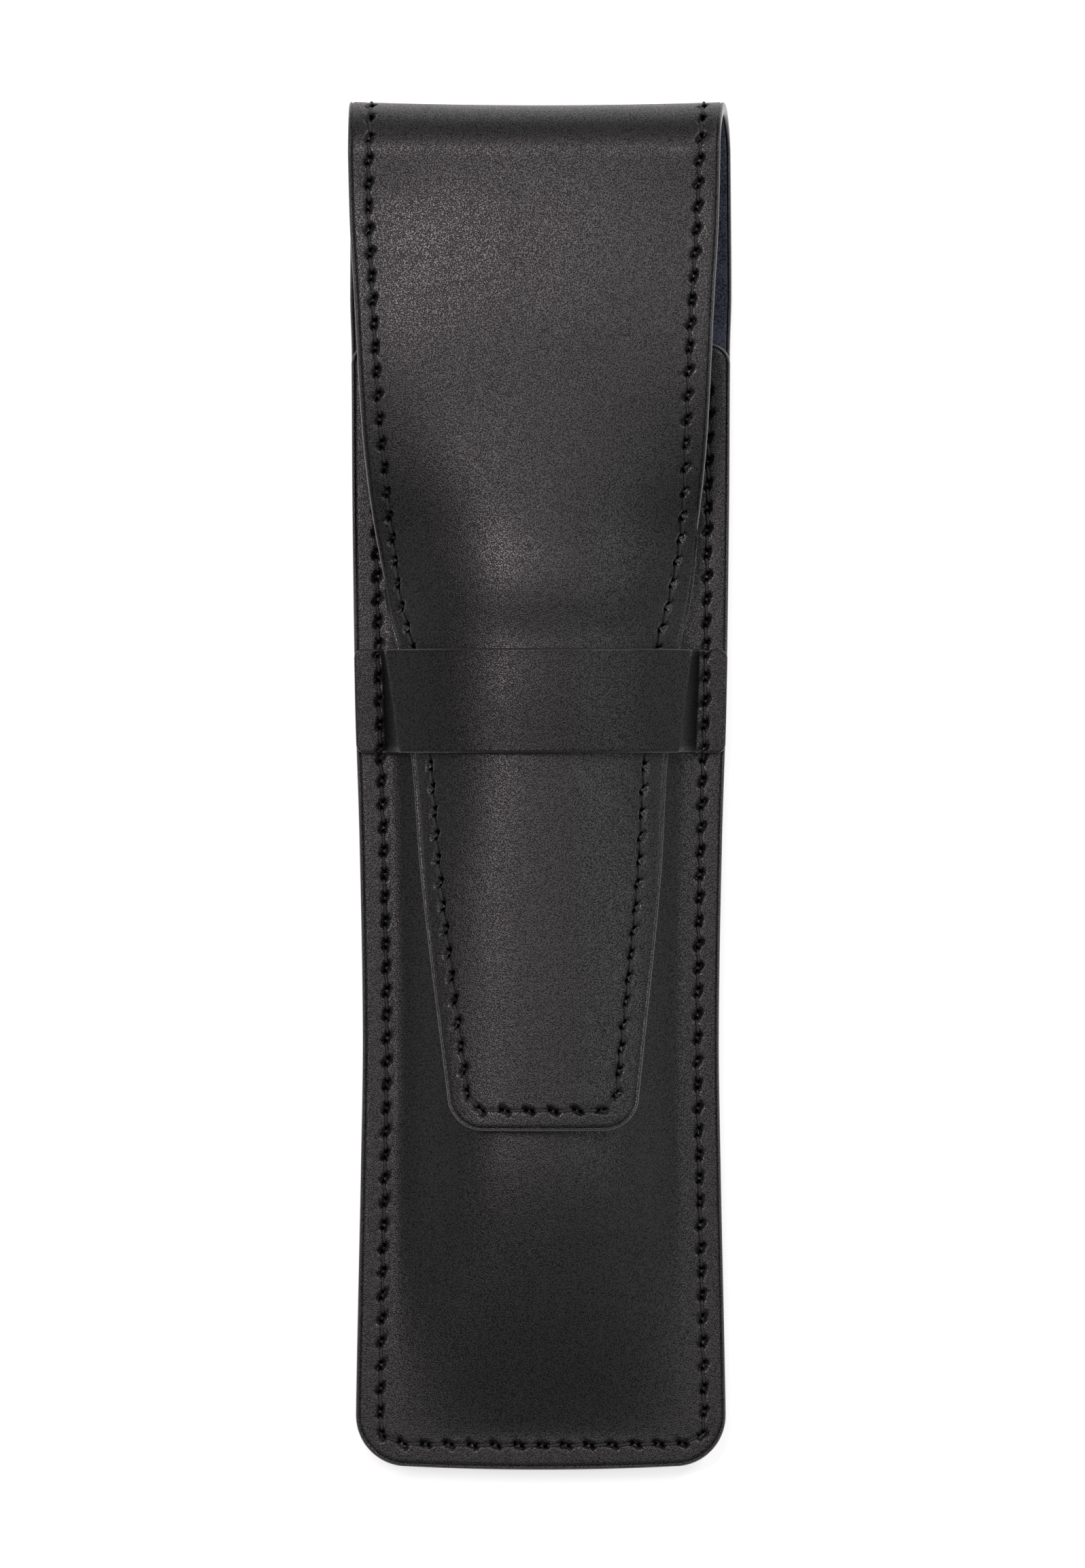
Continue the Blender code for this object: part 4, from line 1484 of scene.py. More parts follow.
@dataclass(frozen=True)
class StitchShape:
    """One stitch of two-ply thread. Its sizes are shares of the thread's diameter."""

    rings: int = 11
    sides: int = 6
    overrun: float = 0.1
    level_share: float = 0.40
    dive_power: float = 1.5
    dive_depth: float = 2.1
    bedding: float = 0.10
    slimming: float = 0.25
    lobes: float = 0.16
    half_turns: float = 2.0

    def build(self, diameter: float, pitch: float) -> bpy.types.Object:
        """A hidden stitch that rises from one hole and dives into the next.

        Args:
            diameter: The thread's diameter.
            pitch: Distance between the holes.

        Returns:
            The stitch, along X with its outside up.
        """
        rings, sides = self.rings, self.sides
        share = np.linspace(-1.0, 1.0, rings)
        x = share * (pitch / 2 + diameter * self.overrun)
        past = (np.abs(share) - self.level_share) / (1 - self.level_share)
        dive = np.clip(past, 0.0, 1.0) ** self.dive_power
        z = -diameter * self.bedding - dive * diameter * self.dive_depth
        points = []
        for ring in range(rings):
            twist = share[ring] * math.pi * self.half_turns
            slim = 1.0 - self.slimming * dive[ring]
            for side in range(sides):
                angle = 2 * math.pi * side / sides
                lobe = diameter / 2 * slim * (1.0 + self.lobes * math.cos(2 * (angle - twist)))
                points.append(
                    (x[ring], lobe * math.cos(angle), z[ring] + lobe * math.sin(angle))
                )
        last = (rings - 1) * sides
        faces = [tuple(range(sides))[::-1], tuple(range(last, last + sides))]
        faces += quads(rings, sides, sides)
        stitch = add_object(f"stitch_{round(diameter * MICROMETRES)}", np.array(points), faces)
        mark(stitch, Attribute.SUNK, np.repeat(dive, sides))
        stitch.hide_render = True
        return stitch


@dataclass
class Workshop:
    """What every sub-assembly is made with: the shape, the finishes and the trees."""

    shape: PouchShape = field(default_factory=PouchShape)
    thread: float = 0.00042
    bobbin: float = 0.00034
    hole_reach: float = 0.00045
    hole_slant: float = math.radians(24)
    hole_slant_shares: Range = (0.4, 1.6)
    hole_radius: float = 0.00058
    hole_depth: float = 0.00055
    groove_radius: float = 0.00040
    groove_depth: float = 0.00006
    hole_raggedness: float = 0.00050
    fold_dip: float = 0.0004
    slant: float = math.radians(6)
    unevenness: float = math.radians(4)

    def __post_init__(self) -> None:
        """Build the finishes, the trees and the stitch that is laid on every seam."""
        self.leather = LeatherFinish().material()
        # The strap takes the shaded copy of the leather.
        self.strap_leather = SHADED_STRAP_FINISH.material()
        self.suede = SuedeFinish().material()
        self.thread_finish = ThreadFinish().material()
        self.dimples = dimple_tree()
        self.stitches = stitch_tree()
        self.bender = bend_tree()
        pitch = self.shape.stitch_pitch
        sizes = (self.thread, self.bobbin)
        self.stitch = {size: StitchShape().build(size, pitch) for size in sizes}

    def seam(self, name: str, runs: Sequence[tuple[Array, Array]]) -> Seam:
        """Guides along a line of stitches.

        Args:
            name: The seam's name.
            runs: For each unbroken run, the holes and the outward normals there.

        Returns:
            The guides.
        """
        points = np.concatenate([holes for holes, _ in runs])
        normals = np.concatenate([normals for _, normals in runs])
        edges = []
        start = 0
        for holes, _ in runs:
            edges += [(start + i, start + i + 1) for i in range(len(holes) - 1)]
            start += len(holes)
        stitches = guide_lines(name, points, edges)
        layer = stitches.data.attributes.new("outward", "FLOAT_VECTOR", "POINT")
        layer.data.foreach_set("vector", normals.astype(np.float32).ravel())
        ways = np.concatenate([np.gradient(holes, axis=0) for holes, _ in runs])
        ways /= np.linalg.norm(ways, axis=1, keepdims=True)
        count = len(points)
        chance = np.random.default_rng(count)
        slant = self.hole_slant * chance.uniform(*self.hole_slant_shares, count)
        slits = ways * np.cos(slant)[:, None] - np.cross(normals, ways) * np.sin(slant)[:, None]
        ends = np.concatenate([points - slits * self.hole_reach, points + slits * self.hole_reach])
        pairs = [(place, place + count) for place in range(count)]
        return Seam(stitches, guide_lines(f"{name}_holes", ends, pairs))

    def draw_in(
        self, thing: bpy.types.Object, seam: Seam, finish: bpy.types.Material | None = None
    ) -> None:
        """Sink a sheet at a seam's holes and along its stitches, and set its finish.

        Args:
            thing: The sheet.
            seam: Guides of the holes and stitches.
            finish: The sheet's material, or none for the plain leather.
        """
        self.dimples.apply(
            thing,
            Holes=seam.holes,
            Seam=seam.stitches,
            Hole_Radius=self.hole_radius,
            Hole_Depth=self.hole_depth,
            Groove_Radius=self.groove_radius,
            Groove_Depth=self.groove_depth,
            Raggedness=self.hole_raggedness,
            Finish=finish or self.leather,
        )

    def lay_stitches(self, name: str, seam: Seam, diameter: float, seed: int) -> bpy.types.Object:
        """The thread on a seam, as a piece of its own.

        Args:
            name: The piece's name.
            seam: The seam's guides.
            diameter: The thread's diameter.
            seed: Seed of the stitches' unevenness.

        Returns:
            The piece.
        """
        piece = bpy.data.objects.new(name, seam.stitches.data.copy())
        bpy.context.scene.collection.objects.link(piece)
        self.stitches.apply(
            piece,
            Stitch=self.stitch[diameter],
            Stitch_Length=self.shape.stitch_pitch,
            Slant=self.slant,
            Unevenness=self.unevenness,
            Seed=seed,
            Finish=self.thread_finish,
        )
        return piece

    def bend(self, thing: bpy.types.Object, finish: bpy.types.Material) -> None:
        """Bend a flat piece over the fold.

        Args:
            thing: The piece.
            finish: Its material.
        """
        shape = self.shape
        self.bender.apply(
            thing,
            Fold_Start=shape.fold_start,
            Fold_Height=shape.fold_centre,
            Fold_Radius=shape.fold_radius,
            Dip=self.fold_dip,
            Half_Width=shape.width / 2,
            Finish=finish,
        )

    def dress(self, thing: bpy.types.Object, finish: bpy.types.Material) -> None:
        """Give a piece one finish all over."""
        thing.data.materials.clear()
        thing.data.materials.append(finish)

    def clear_guides(self) -> None:
        """Remove the seams and the stitches that the pieces were made from."""
        for thing in list(bpy.context.scene.objects):
            kept = thing.name.startswith("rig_") or "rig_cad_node" in thing
            if thing.hide_render and not kept:
                bpy.data.objects.remove(thing)


@dataclass
class SheetMaker:
    """Makes the leather, the suede and the stitches of one sheet."""

    shop: Workshop
    sheet: Sheet
    rim: float = 0.00032
    rim_reach: float = 0.0006
    bead: float = 0.00045
    crease_inset: float = 0.00044
    crease_width: float = 0.00011
    crease_depth: float = 0.00012
    hidden_gap: float = 0.00002
    rim_rings: Sequence[float] = (
        0.0, 0.00002, 0.00006, 0.00012, 0.0002, 0.00028, 0.00036, 0.00044, 0.00052, 0.00062,
        0.0009,
    )
    under_rings: Sequence[float] = (0.0, 0.00012, 0.00032, 0.00045, 0.0009)
    seam_rings: Sequence[float] = (
        0.0013, 0.00155, 0.00172, 0.00189, 0.00206, 0.00223, 0.0024, 0.00257, 0.00274, 0.00291,
        0.00308, 0.00325, 0.00345, 0.0038,
    )
    stations_a_stitch: int = 16
    grid_thin: int = 5
    suede_rings: Sequence[float] = (0.0, 0.00004, 0.00012, 0.0003)
    suede_band: Sequence[float] = (0.0016, 0.0024, 0.0034)
    suede_step: float = 0.0009
    suede_edge: float = 0.00012
    suede_edge_share: float = 0.4

    @property
    def shape(self) -> PouchShape:
        """The case's shape."""
        return self.shop.shape

    @property
    def facing(self) -> int:
        """1 where the leather's outside faces up, -1 where it faces down."""
        return -1 if self.sheet is Sheet.BACK else 1

    def _outside(self, places: Array) -> tuple[Array, Array]:
        """Points on the leather's outside at flat places, and the outward normals there.

        Args:
            places: The places, one a row.

        Returns:
            The points and the unit normals.
        """
        x, y = places.T
        if self.sheet is not Sheet.FLAP:
            y = self.shape.bowed(x, y)
        return self.shape.outside(self.sheet, x, y)

    def leather(self, name: str) -> bpy.types.Object:
        """The leather, whose painted edge wraps the edge of its lining.

        Args:
            name: The piece's name.

        Returns:
            The piece, not yet sewn or bent.
        """
        shape, blank = self.shape, Blank(self.shape, self.sheet)
        step = shape.stitch_pitch / self.stations_a_stitch
        plan = RimPlan(self.rim_rings, self.seam_rings, step, self.grid_thin)
        under_plan = RimPlan(self.under_rings, self.seam_rings[-1:], step, self.grid_thin)
        flat = SheetMesher(blank, plan).build()
        under = SheetMesher(blank, under_plan).build()
        points, normals = self._outside(flat.places)
        crease = np.exp(-(((flat.insets - self.crease_inset) / self.crease_width) ** 2))
        depth = rounding(self.rim, flat.insets) + self.crease_depth * crease
        outer = Skin(points - normals * depth[:, None], flat.faces)
        points, normals = self._outside(under.places)
        wrap = smooth((self.bead - under.insets) / (self.bead - self.rim))
        depth = mix(shape.leather, shape.stack - rounding(self.rim, under.insets), wrap)
        inner = Skin(points - normals * depth[:, None], under.faces)
        thing = slab(name, outer, inner, flat.stations, self.facing)
        insets = np.concatenate([flat.insets, under.insets])
        mark(thing, Attribute.RIM, np.clip(1 - insets / self.rim_reach, 0.0, 1.0))
        return thing

    def suede(self, name: str) -> bpy.types.Object:
        """The lining, inside the leather's painted edge.

        Args:
            name: The piece's name.

        Returns:
            The piece, not yet bent.
        """
        start = self.bead + self.hidden_gap
        rings = [start + ring for ring in self.suede_rings]
        plan = RimPlan(rings, self.suede_band, self.suede_step)
        flat = SheetMesher(Blank(self.shape, self.sheet), plan).build()
        points, normals = self._outside(flat.places)
        edge = np.clip(1 - (flat.insets - start) / self.suede_edge, 0.0, 1.0) ** 2
        outer = Skin(points - normals * (self.shape.leather + self.shape.glue_gap), flat.faces)
        depth = self.shape.stack - edge * self.shape.lining * self.suede_edge_share
        inner = Skin(points - normals * depth[:, None], flat.faces)
        thing = slab(name, outer, inner, flat.stations, self.facing)
        self.shop.dress(thing, self.shop.suede)
        return thing

    def stitch_line(self, top: float) -> Array:
        """The stitch line from a place on the left, round the end, to the right.

        Args:
            top: The y where the line starts and ends.

        Returns:
            The line, on the flat sheet.
        """
        shape = self.shape
        flap = self.sheet is Sheet.FLAP
        inset = shape.flap_stitch_inset if flap else shape.body_stitch_inset
        corner = shape.flap_stitch_corner if flap else shape.body_stitch_corner
        blank = Blank(shape, self.sheet)
        left, bottom, right = blank.runs(inset, corner, corner)[:3]
        line = np.concatenate([left, bottom[1:], right[1:]])
        y = line[:, 1]
        extra = shape.stitch_inset(self.sheet, y) - inset
        line[:, 0] -= np.sign(line[:, 0]) * np.where(y > shape.fold_start, extra, 0.0)
        line[:, 0] += shape.stitch_lean(self.sheet, y)
        return line[y <= top]

    def holes(self, line: Array, depth: float, facing: int) -> tuple[Array, Array]:
        """Holes at even steps along a flat line.

        Args:
            line: The line.
            depth: How far under the leather's outside the thread lies.
            facing: 1 for a thread on the outside, -1 for one on the inside.

        Returns:
            The holes and the normals that point to the thread's side.
        """
        count = max(1, round(line_length(line) / self.shape.stitch_pitch))
        points, normals = self._outside(resample(line, count))
        return points - normals * depth, normals * facing


class FoldHinge(Enum):
    """The two places where the fold bends, each between two bodies."""

    LOWER = ("case", "fold", 45.0)
    UPPER = ("fold", "flap", 135.0)

    def blend(self, piece: bpy.types.Object, shape: PouchShape, reach: float = 0.0034) -> None:
        """Let a piece bend at this place, over a reach on each side of it.

        Args:
            piece: The piece.
            shape: The case's shape.
            reach: How far to each side it bends.
        """
        first, second, degrees = self.value
        turn = math.radians(degrees)
        y = shape.fold_start + shape.fold_radius * math.sin(turn)
        z = shape.fold_centre - shape.fold_radius * math.cos(turn)
        step_y, step_z = reach * math.cos(turn), reach * math.sin(turn)
        start = (0.0, y - step_y, z - step_z)
        end = (0.0, y + step_y, z + step_z)
        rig.blend(piece, first, second, start, end)


def settle(piece: bpy.types.Object, slot: str, nodes: Sequence[str]) -> None:
    """Say which material slot and which solids a piece stands for, and log it.

    Args:
        piece: The piece.
        slot: The record's material slot.
        nodes: The solids that it replaces.
    """
    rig.slot(piece, slot)
    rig.replaces(piece, *nodes)
    LOG.info("%s: %d faces", piece.name, len(piece.data.polygons))


def roll(shop: Workshop, hinge: FoldHinge, pieces: Sequence[bpy.types.Object]) -> None:
    """Bend the pieces of one sheet over the fold, and let them bend at a hinge.

    Args:
        shop: The workshop.
        hinge: Where the pieces bend.
        pieces: The leather, the suede and the two threads.
    """
    finishes = (shop.leather, shop.suede, shop.thread_finish, shop.thread_finish)
    for piece, finish in zip(pieces, finishes):
        shop.bend(piece, finish)
        hinge.blend(piece, shop.shape)


@dataclass
class Pocket:
    """The sewn pocket: front, back with the fold's lower half, glue line and stitches."""

    shop: Workshop
    edge_gap: float = 0.00045
    glue_rings: Sequence[float] = (0.0003, 0.0006)
    glue_band: Sequence[float] = (0.0020, 0.0035)
    glue_step: float = 0.0012
    glue_drop: float = 0.004

    def build(self) -> None:
        """Make every piece of the pocket."""
        self._front()
        self._back()
        self._glue_line()

    def _front_runs(self, maker: SheetMaker) -> list[tuple[Array, Array]]:
        """Runs of stitches on the front, clear of the strap's ends.

        Args:
            maker: The front's maker.

        Returns:
            For each run, its holes and the normals there.
        """
        shape = self.shop.shape
        strap_top = shape.top - shape.strap_drop
        strap_bottom = strap_top - shape.strap_width
        line = maker.stitch_line(shape.mouth - self.edge_gap)
        x, y = line.T
        runs = []
        for side in (-1, 1):
            part = line[(y > strap_top + self.edge_gap) & (x * side > 0)]
            runs.append(maker.holes(part, 0.0, 1))
        runs.append(maker.holes(line[y < strap_bottom - self.edge_gap], 0.0, 1))
        return runs

    def _front(self) -> None:
        """Make the front's leather, its lining and its stitches."""
        shop = self.shop
        maker = SheetMaker(shop, Sheet.FRONT)
        seam = shop.seam("front_seam", self._front_runs(maker))
        leather = maker.leather("front_panel")
        shop.draw_in(leather, seam)
        suede = maker.suede("front_suede")
        thread = shop.lay_stitches("front_stitches", seam, shop.thread, 3)
        for piece in (leather, suede, thread):
            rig.ride(piece, "case")
        settle(leather, "black_leather", ["front_leather"])
        settle(suede, "navy_suede", ["front_lining"])
        settle(thread, "black_thread", ["pocket_top_thread"])

    def _back(self) -> None:
        """Make the back's leather, its lining, and the stitches outside and inside it."""
        shop, shape = self.shop, self.shop.shape
        maker = SheetMaker(shop, Sheet.BACK)
        line = maker.stitch_line(shape.fold_end)
        outer = shop.seam("back_seam", [maker.holes(line, 0.0, 1)])
        neck = [line[(line[:, 1] > shape.mouth + self.edge_gap) & (line[:, 0] * side > 0)]
                for side in (-1, 1)]
        inner = shop.seam("neck_seam", [maker.holes(part, shape.stack, -1) for part in neck])
        leather = maker.leather("back_panel")
        shop.draw_in(leather, outer)
        suede = maker.suede("back_suede")
        under = shop.lay_stitches("back_stitches", outer, shop.thread, 5)
        within = shop.lay_stitches("neck_stitches", inner, shop.bobbin, 7)
        roll(shop, FoldHinge.LOWER, (leather, suede, under, within))
        settle(leather, "black_leather", ["back_leather", "fold_leather"])
        settle(suede, "navy_suede", ["back_lining", "fold_lining"])
        outer_names = ["fold_outer_thread_left", "fold_outer_thread_right"]
        settle(under, "black_thread", ["pocket_under_thread", *outer_names])
        inner_names = ["fold_inner_thread_left", "fold_inner_thread_right"]
        settle(within, "black_thread", ["pocket_top_thread", *inner_names])

    def _glue_line(self) -> None:
        """The thin glue line between the two linings on the sewn margin."""
        shop, shape = self.shop, self.shop.shape
        plan = RimPlan(self.glue_rings, self.glue_band, self.glue_step)
        flat = SheetMesher(Blank(shape, Sheet.FRONT), plan).build(filled=False)
        top = shape.mouth - self.glue_drop
        keep = [face for face in flat.faces if flat.places[list(face), 1].max() < top]
        used = sorted({place for face in keep for place in face})
        order = {place: index for index, place in enumerate(used)}
        x, y = flat.places[used].T
        points, normals = shape.outside(Sheet.FRONT, x, shape.bowed(x, y))
        faces = [tuple(order[place] for place in face) for face in keep]
        gap = SheetMaker(shop, Sheet.FRONT).hidden_gap
        outer = Skin(points - normals * (shape.stack + gap), faces)
        inner = Skin(points - normals * (shape.stack + shape.seam_gap - gap), faces)
        glue = slab("seam_glue", outer, inner, len(points), 1)
        shop.dress(glue, shop.thread_finish)
        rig.ride(glue, "case")
        settle(glue, "black_thread", [])


@dataclass
class Flap:
    """The flap, with the fold's upper half and its tongue."""

    shop: Workshop

    def build(self) -> None:
        """Make every piece of the flap."""
        shop, shape = self.shop, self.shop.shape
        maker = SheetMaker(shop, Sheet.FLAP)
        line = maker.stitch_line(shape.fold_end)
        outer = shop.seam("flap_seam", [maker.holes(line, 0.0, 1)])
        inner = shop.seam("flap_lining_seam", [maker.holes(line, shape.stack, -1)])
        leather = maker.leather("flap_panel")
        shop.draw_in(leather, outer)
        suede = maker.suede("flap_suede")
        upper = shop.lay_stitches("flap_stitches", outer, shop.thread, 11)
        lower = shop.lay_stitches("flap_lining_stitches", inner, shop.bobbin, 13)
        roll(shop, FoldHinge.UPPER, (leather, suede, upper, lower))
        settle(leather, "black_leather", ["flap_leather", "fold_leather"])
        settle(suede, "navy_suede", ["flap_lining", "fold_lining"])
        settle(upper, "black_thread", ["flap_outer_thread"])
        settle(lower, "black_thread", ["flap_inner_thread"])


def pull_taut(x: Array, z: Array, wanted: Array) -> Array:
    """Heights of a band that is pulled tight over a line of points.

    Args:
        x: Where the points lie, rising.
        z: Their heights.
        wanted: Where the heights are wanted.

    Returns:
        The heights.
    """
    kept: list[tuple[float, float]] = []
    for point in zip(x, z):
        while len(kept) > 1 and turns_up(kept[-2], kept[-1], point):
            kept.pop()
        kept.append(point)
    return np.interp(wanted, *np.transpose(kept))


def turns_up(first: Sequence[float], second: Sequence[float], third: Sequence[float]) -> bool:
    """Whether a line through three points turns upwards at the second."""
    rise = (second[0] - first[0]) * (third[1] - first[1])
    return rise >= (third[0] - first[0]) * (second[1] - first[1])


@dataclass
class Strap:
    """The band across the front, sewn in with the side seams."""

    shop: Workshop
    tongue_shares: Sequence[float] = (0.0, 0.22, 0.42, 0.6, 0.76, 0.9, 0.985, 1.0)
    wall_shares: Sequence[float] = (0.06, 0.8)
    lift: float = 0.00036
    dull_from: float = 0.62
    dull_range: float = 0.08
    rim: float = 0.00030
    rim_reach: float = 0.0006
    flap_samples: int = 33
    width_steps: int = 34
    column_step: float = 0.00016
    smoothing: int = 3
    corner_cut: float = 0.25
    least_lean: float = 0.5
    edge_gap: float = 0.00045
    seam_step: float = 0.0002
    edge_insets: Sequence[float] = (0.0, 0.00002, 0.00006, 0.00012, 0.0002, 0.0003, 0.00042, 0.0006)

    @property
    def top(self) -> float:
        """The strap's edge nearer the fold."""
        return self.shop.shape.top - self.shop.shape.strap_drop

    @property
    def bottom(self) -> float:
        """The strap's other edge."""
        return self.top - self.shop.shape.strap_width

    def _half_section(self, y: Array, side: int) -> Array:
        """The strap's inside on one side, from the middle out, one row for each y.

        Args:
            y: The rows.
            side: 1 for the right, -1 for the left.

        Returns:
            Points (x, z) of each row.
        """
        shape = self.shop.shape
        middle = shape.tongue_middle(y)
        edge = shape.tongue_half_width(y) + side * middle
        fine = np.linspace(0.0, 1.0, self.flap_samples)[:, None]
        rows = np.tile(y, (self.flap_samples, 1))
        surface, normal = shape.outside(Sheet.FLAP, side * fine * edge, rows)
        over = surface + normal * shape.tunnel_gap
        lift = self.lift * (y - self.bottom) / (self.top - self.bottom)
        reaches, heights = side * over[..., 0], over[..., 2] + lift
        reaches[-1] += shape.tunnel_side_gap
        wanted = np.array(self.tongue_shares)[:, None] * (reaches[-1] - reaches[0]) + reaches[0]
        taut = [pull_taut(*row) for row in zip(reaches.T, heights.T, wanted.T)]
        points = list(np.stack([side * wanted, np.transpose(taut)], axis=2))
        half = shape.body_half_width(y)
        level = np.full_like(y, shape.seam_top + shape.seam_gap)
        foot = np.stack([side * (half - shape.seam_margin), level], axis=1)
        points.extend([mix(points[-1], foot, share) for share in self.wall_shares])
        for reach in (half - shape.seam_margin, half - shape.seam_margin / 2, half):
            points.append(np.stack([side * reach, level], axis=1))
        return np.stack(points, axis=1)

    def _sections(self, y: Array) -> tuple[Array, Array]:
        """Inside and outside of the strap at each y, as (x, z) points from left to right.

        Args:
            y: The rows.

        Returns:
            The inside's points and the outside's.
        """
        left = self._half_section(y, -1)[:, :0:-1]
        inside = np.concatenate([left, self._half_section(y, 1)], axis=1)
        runs = np.diff(inside, axis=1)
        runs /= np.linalg.norm(runs, axis=2, keepdims=True)
        normals = np.stack([-runs[..., 1], runs[..., 0]], axis=2)
        first, last = normals[:, :1], normals[:, -1:]
        meet = np.concatenate([first, normals[:, :-1] + normals[:, 1:], last], axis=1)
        meet /= np.linalg.norm(meet, axis=2, keepdims=True)
        lean = np.concatenate([first, normals], axis=1)
        stretch = 1 / np.clip((meet * lean).sum(axis=2, keepdims=True), self.least_lean, 1.0)
        outside = inside + meet * stretch * self.shop.shape.strap_leather
        for _ in range(self.smoothing):
            inside, outside = self._cut_corners(inside), self._cut_corners(outside)
        return inside, outside

    def _cut_corners(self, line: Array) -> Array:
        """Round a line of points once, keeping its ends.

        Args:
            line: The points, one line a row.

        Returns:
            The rounder lines.
        """
        near = mix(line[:, :-1], line[:, 1:], self.corner_cut)
        far = mix(line[:, :-1], line[:, 1:], 1 - self.corner_cut)
        woven = np.stack([near, far], axis=2).reshape(len(line), -1, 2)
        return np.concatenate([line[:, :1], woven, line[:, -1:]], axis=1)

    def _rows(self) -> Array:
        """Rows across the strap's width, closer at its two edges.

        Returns:
            The y of each row, rising.
        """
        insets = np.array(self.edge_insets)
        low, high = self.bottom + insets[-1], self.top - insets[-1]
        inner = np.linspace(low, high, self.width_steps)[1:-1]
        return np.concatenate([self.bottom + insets, inner, (self.top - insets)[::-1]])

    def grid(self) -> tuple[Array, Array, Array, tuple[int, int]]:
        """The strap's surfaces, as two grids of points.

        Returns:
            Outer points, inner points, their distances from the edge, and the grid's size.
        """
        y = self._rows()
        inside, outside = self._sections(y)
        depth = np.minimum(y - self.bottom, self.top - y)
        length = line_length(outside[len(y) // 2])
        trims = rounding(self.shop.shape.strap_corner, depth) / length
        edge = self.edge_insets[-1]
        even = np.linspace(edge, length - edge, round(length / self.column_step))
        ends = np.array(self.edge_insets[:-1])
        wanted = np.concatenate([ends, even, (length - ends)[::-1]]) / length
        across = np.minimum(wanted, 1 - wanted) * length
        outer, inner, insets = [], [], []
        for row, place in enumerate(y):
            inset = np.minimum(across, depth[row])
            top = self._along(outside[row], wanted, trims[row])
            base = self._along(inside[row], wanted, trims[row])
            lift = top - base
            lift /= np.linalg.norm(lift, axis=1, keepdims=True)
            drop = lift * rounding(self.rim, inset)[:, None]
            for points, line in ((outer, top - drop), (inner, base + drop)):
                points.append(np.stack([line[:, 0], np.full(len(line), place), line[:, 1]], axis=1))
            insets.append(inset)
        size = (len(y), len(wanted))
        return np.concatenate(outer), np.concatenate(inner), np.concatenate(insets), size

    def _along(self, line: Array, wanted: Array, trim: float) -> Array:
        """Points at shares of a line's length, between two trimmed ends."""
        lengths = run_lengths(line)
        return at_lengths(line, lengths, mix(trim, 1 - trim, wanted) * lengths[-1])

    def _seam(self) -> Seam:
        """The stitches over the strap's two ends.

        Returns:
            The seam's guides.
        """
        shape = self.shop.shape
        runs = []
        for side in (-1, 1):
            y = np.arange(self.top - self.edge_gap, self.bottom + self.edge_gap, -self.seam_step)
            x = side * (shape.straight_half_width(y) - shape.body_stitch_inset)
            x += shape.stitch_lean(Sheet.FRONT, y)
            line = np.stack([x, y], axis=1)
            count = round(line_length(line) / shape.stitch_pitch)
            holes = resample(line, count)
            height = np.full(len(holes), shape.seam_top + shape.seam_gap + shape.strap_leather)
            points = np.concatenate([holes, height[:, None]], axis=1)
            normals = np.tile((0.0, 0.0, 1.0), (len(holes), 1))
            runs.append((points, normals))
        return self.shop.seam("strap_seam", runs)

    def build(self) -> None:
        """Make the strap and the stitches over its ends."""
        shop = self.shop
        outer, inner, insets, (rows, columns) = self.grid()
        faces = quads(rows, columns, columns - 1)
        band = slab("strap_band", Skin(outer, faces), Skin(inner, faces), len(outer), 1)
        rim = np.clip(1 - insets / self.rim_reach, 0.0, 1.0)
        mark(band, Attribute.RIM, np.concatenate([rim, rim]))
        # Painted shade on the strap's steep walls: the steeper the wall, the lower its specular level.
        steps = np.gradient(outer.reshape(rows, columns, 3), axis=1).reshape(-1, 3)
        steep = np.abs(steps[:, 2]) / np.linalg.norm(steps, axis=1)
        dull = np.clip((steep - self.dull_from) / self.dull_range, 0.0, 1.0)
        dull *= insets > self.rim_reach
        mark(band, Attribute.DULL, np.concatenate([dull, dull]))
        seam = self._seam()
        shop.draw_in(band, seam, shop.strap_leather)
        thread = shop.lay_stitches("strap_stitches", seam, shop.thread, 17)
        for piece in (band, thread):
            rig.ride(piece, "case")
        settle(band, "black_leather", ["strap_leather"])
        settle(thread, "black_thread", ["pocket_top_thread"])


@dataclass(frozen=True)
class SoftLight:
    """A rectangular studio light that shines on the middle of the case."""

    name: str
    place: tuple[float, float, float]
    size: tuple[float, float]
    radiance: float
    colour: Colour = WHITE[:3]
    target: tuple[float, float, float] = (0.0, 0.0, 0.008)

    def add(self) -> None:
        """Add the light to the scene."""
        data = bpy.data.lights.new(self.name, "AREA")
        data.shape = "RECTANGLE"
        data.size, data.size_y = self.size
        data.energy = self.radiance * math.pi * self.size[0] * self.size[1]
        data.color = self.colour
        lamp = bpy.data.objects.new(self.name, data)
        lamp.location = self.place
        away = lamp.location - type(lamp.location)(self.target)
        lamp.rotation_euler = away.to_track_quat("Z", "Y").to_euler()
        bpy.context.scene.collection.objects.link(lamp)


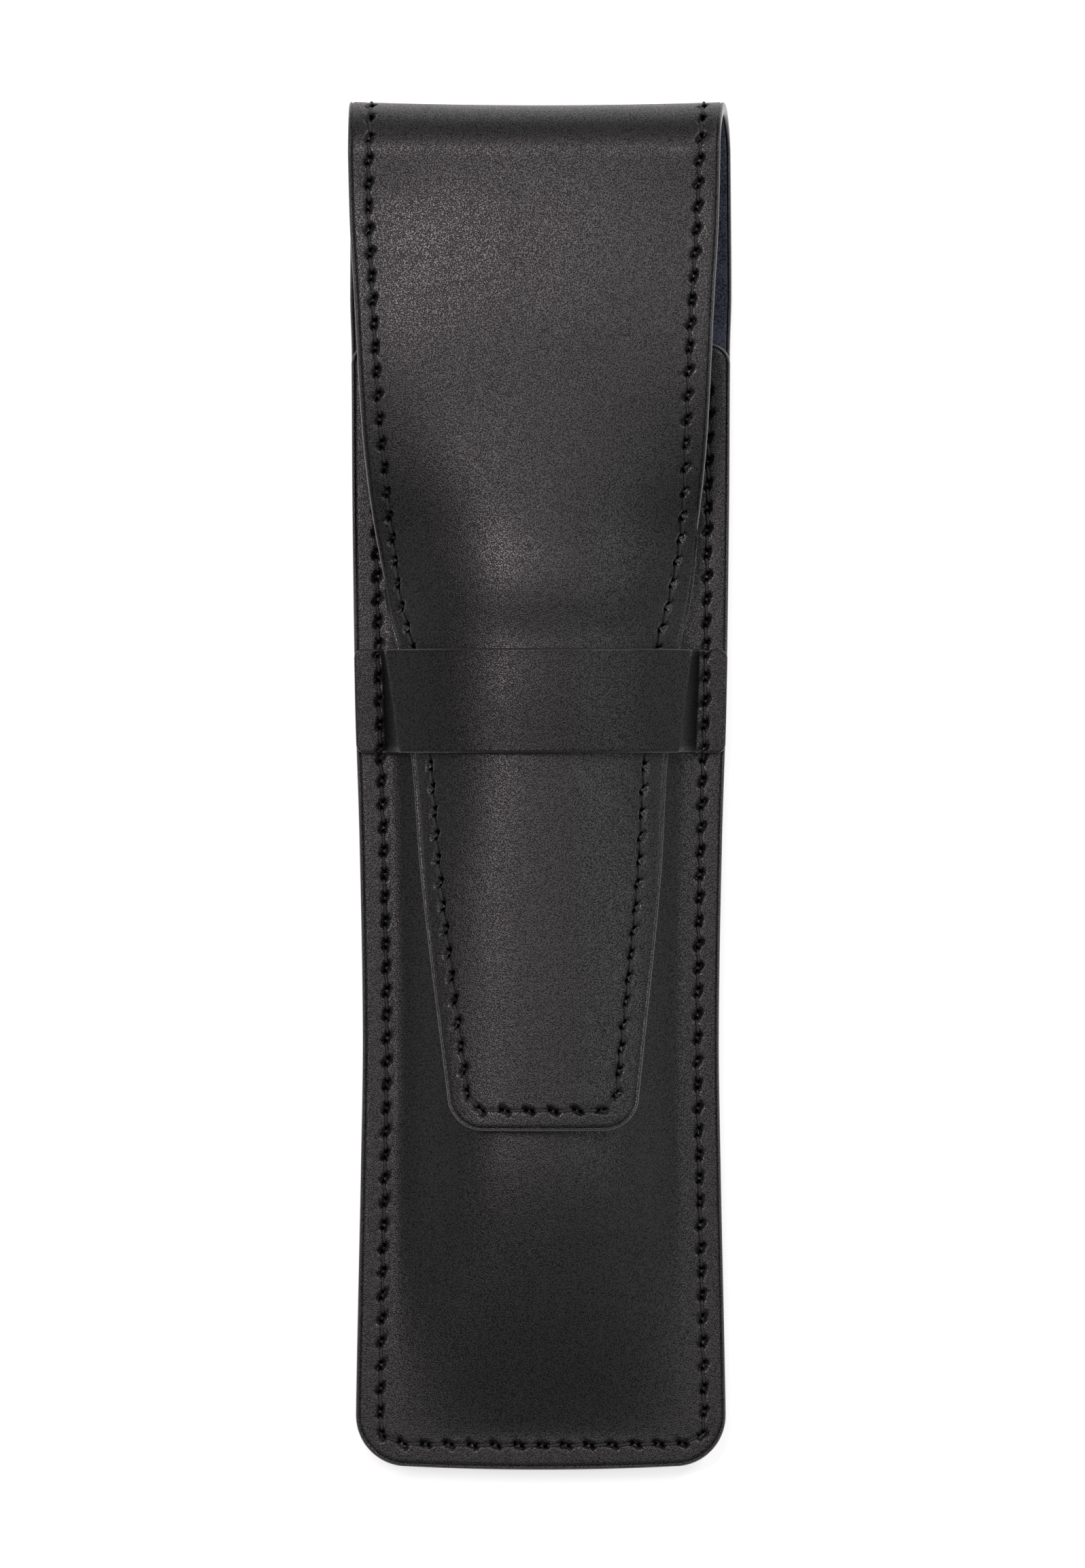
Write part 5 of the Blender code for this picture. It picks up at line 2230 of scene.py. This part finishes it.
@dataclass(frozen=True)
class Studio:
    """Floor, lights, surroundings and camera."""

    image_height: float = 2306.0
    pixels_per_metre: float = 12560.0
    image_centre: tuple[float, float] = (0.0002, 0.0003)
    focus_height: float = 0.008
    lens: float = 200.0
    sensor: float = 36.0
    sight: Range = (0.01, 10.0)
    floor_size: float = 3.0
    floor_colour: Colour = (0.88, 0.88, 0.88)
    floor_roughness: float = 0.9
    floor_glow: float = 0.60
    world: float = 0.27
    lights: Sequence[SoftLight] = (
        SoftLight("key_light", (-0.20, 0.22, 0.90), (0.46, 0.16), 14.5, (1.0, 0.90, 0.92)),
        SoftLight("rear_light", (0.68, 0.74, 0.90), (0.40, 0.40), 8.5, (1.0, 0.95, 0.96)),
        SoftLight("right_light", (0.65, 0.0, 0.90), (0.20, 0.90), 2.0),
    )

    def build(self) -> None:
        """Set the whole studio up."""
        scene = bpy.context.scene
        scene.view_settings.view_transform = "Standard"
        self._floor()
        self._world(scene)
        for light in self.lights:
            light.add()
        self._camera(scene)

    def _floor(self) -> None:
        """A plain white floor that keeps the case's shadow."""
        half = self.floor_size / 2
        corners = np.array([(-half, -half, 0.0), (half, -half, 0.0), (half, half, 0.0),
                            (-half, half, 0.0)])
        floor = add_object("floor", corners, [(0, 1, 2, 3)])
        shader = Shader("white_floor")
        seen = shader.node("ShaderNodeLightPath").outputs
        direct = shader.sum("MAXIMUM", seen["Is Camera Ray"], seen["Is Glossy Ray"])
        direct = shader.sum("MAXIMUM", direct, seen["Is Transmission Ray"])
        glow = shader.sum("MULTIPLY", direct, self.floor_glow)
        shader.feed(shader.surface, Base_Color=(*self.floor_colour, 1.0))
        shader.feed(shader.surface, Roughness=self.floor_roughness, Specular_IOR_Level=0.0)
        shader.feed(shader.surface, Emission_Color=WHITE, Emission_Strength=glow)
        floor.data.materials.append(shader.material)
        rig.stage(floor)

    def _world(self, scene: bpy.types.Scene) -> None:
        """Dim, even surroundings.

        Args:
            scene: The scene.
        """
        world = bpy.data.worlds.new("surroundings")
        world.use_nodes = True
        background = world.node_tree.nodes["Background"]
        background.inputs["Color"].default_value = WHITE
        background.inputs["Strength"].default_value = self.world
        scene.world = world

    def _camera(self, scene: bpy.types.Scene) -> None:
        """A long lens straight above the case, with the folded end at the top.

        Args:
            scene: The scene.
        """
        data = bpy.data.cameras.new("camera")
        data.lens = self.lens
        data.sensor_width = self.sensor
        data.clip_start, data.clip_end = self.sight
        camera = bpy.data.objects.new("camera", data)
        height = self.image_height / self.pixels_per_metre
        distance = height / self.sensor * self.lens
        camera.location = (*self.image_centre, self.focus_height + distance)
        scene.collection.objects.link(camera)
        scene.camera = camera


def write_sizes() -> None:
    """Write the CAD box and the finished model's box."""
    boxes = {"cad": CAD_BOX, "visual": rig.bounds()}
    plain = {name: [list(corner) for corner in box] for name, box in boxes.items()}
    with open(SIZE_FILE, "w") as file:
        json.dump(plain, file)


def main() -> None:
    """Build the studio and every sub-assembly in order."""
    logging.basicConfig(level=logging.INFO, format="%(name)s: %(message)s")
    Studio().build()
    shop = Workshop()
    for assembly in (Pocket(shop), Strap(shop), Flap(shop)):
        assembly.build()
    shop.clear_guides()
    write_sizes()


if __name__ == "__main__":
    main()
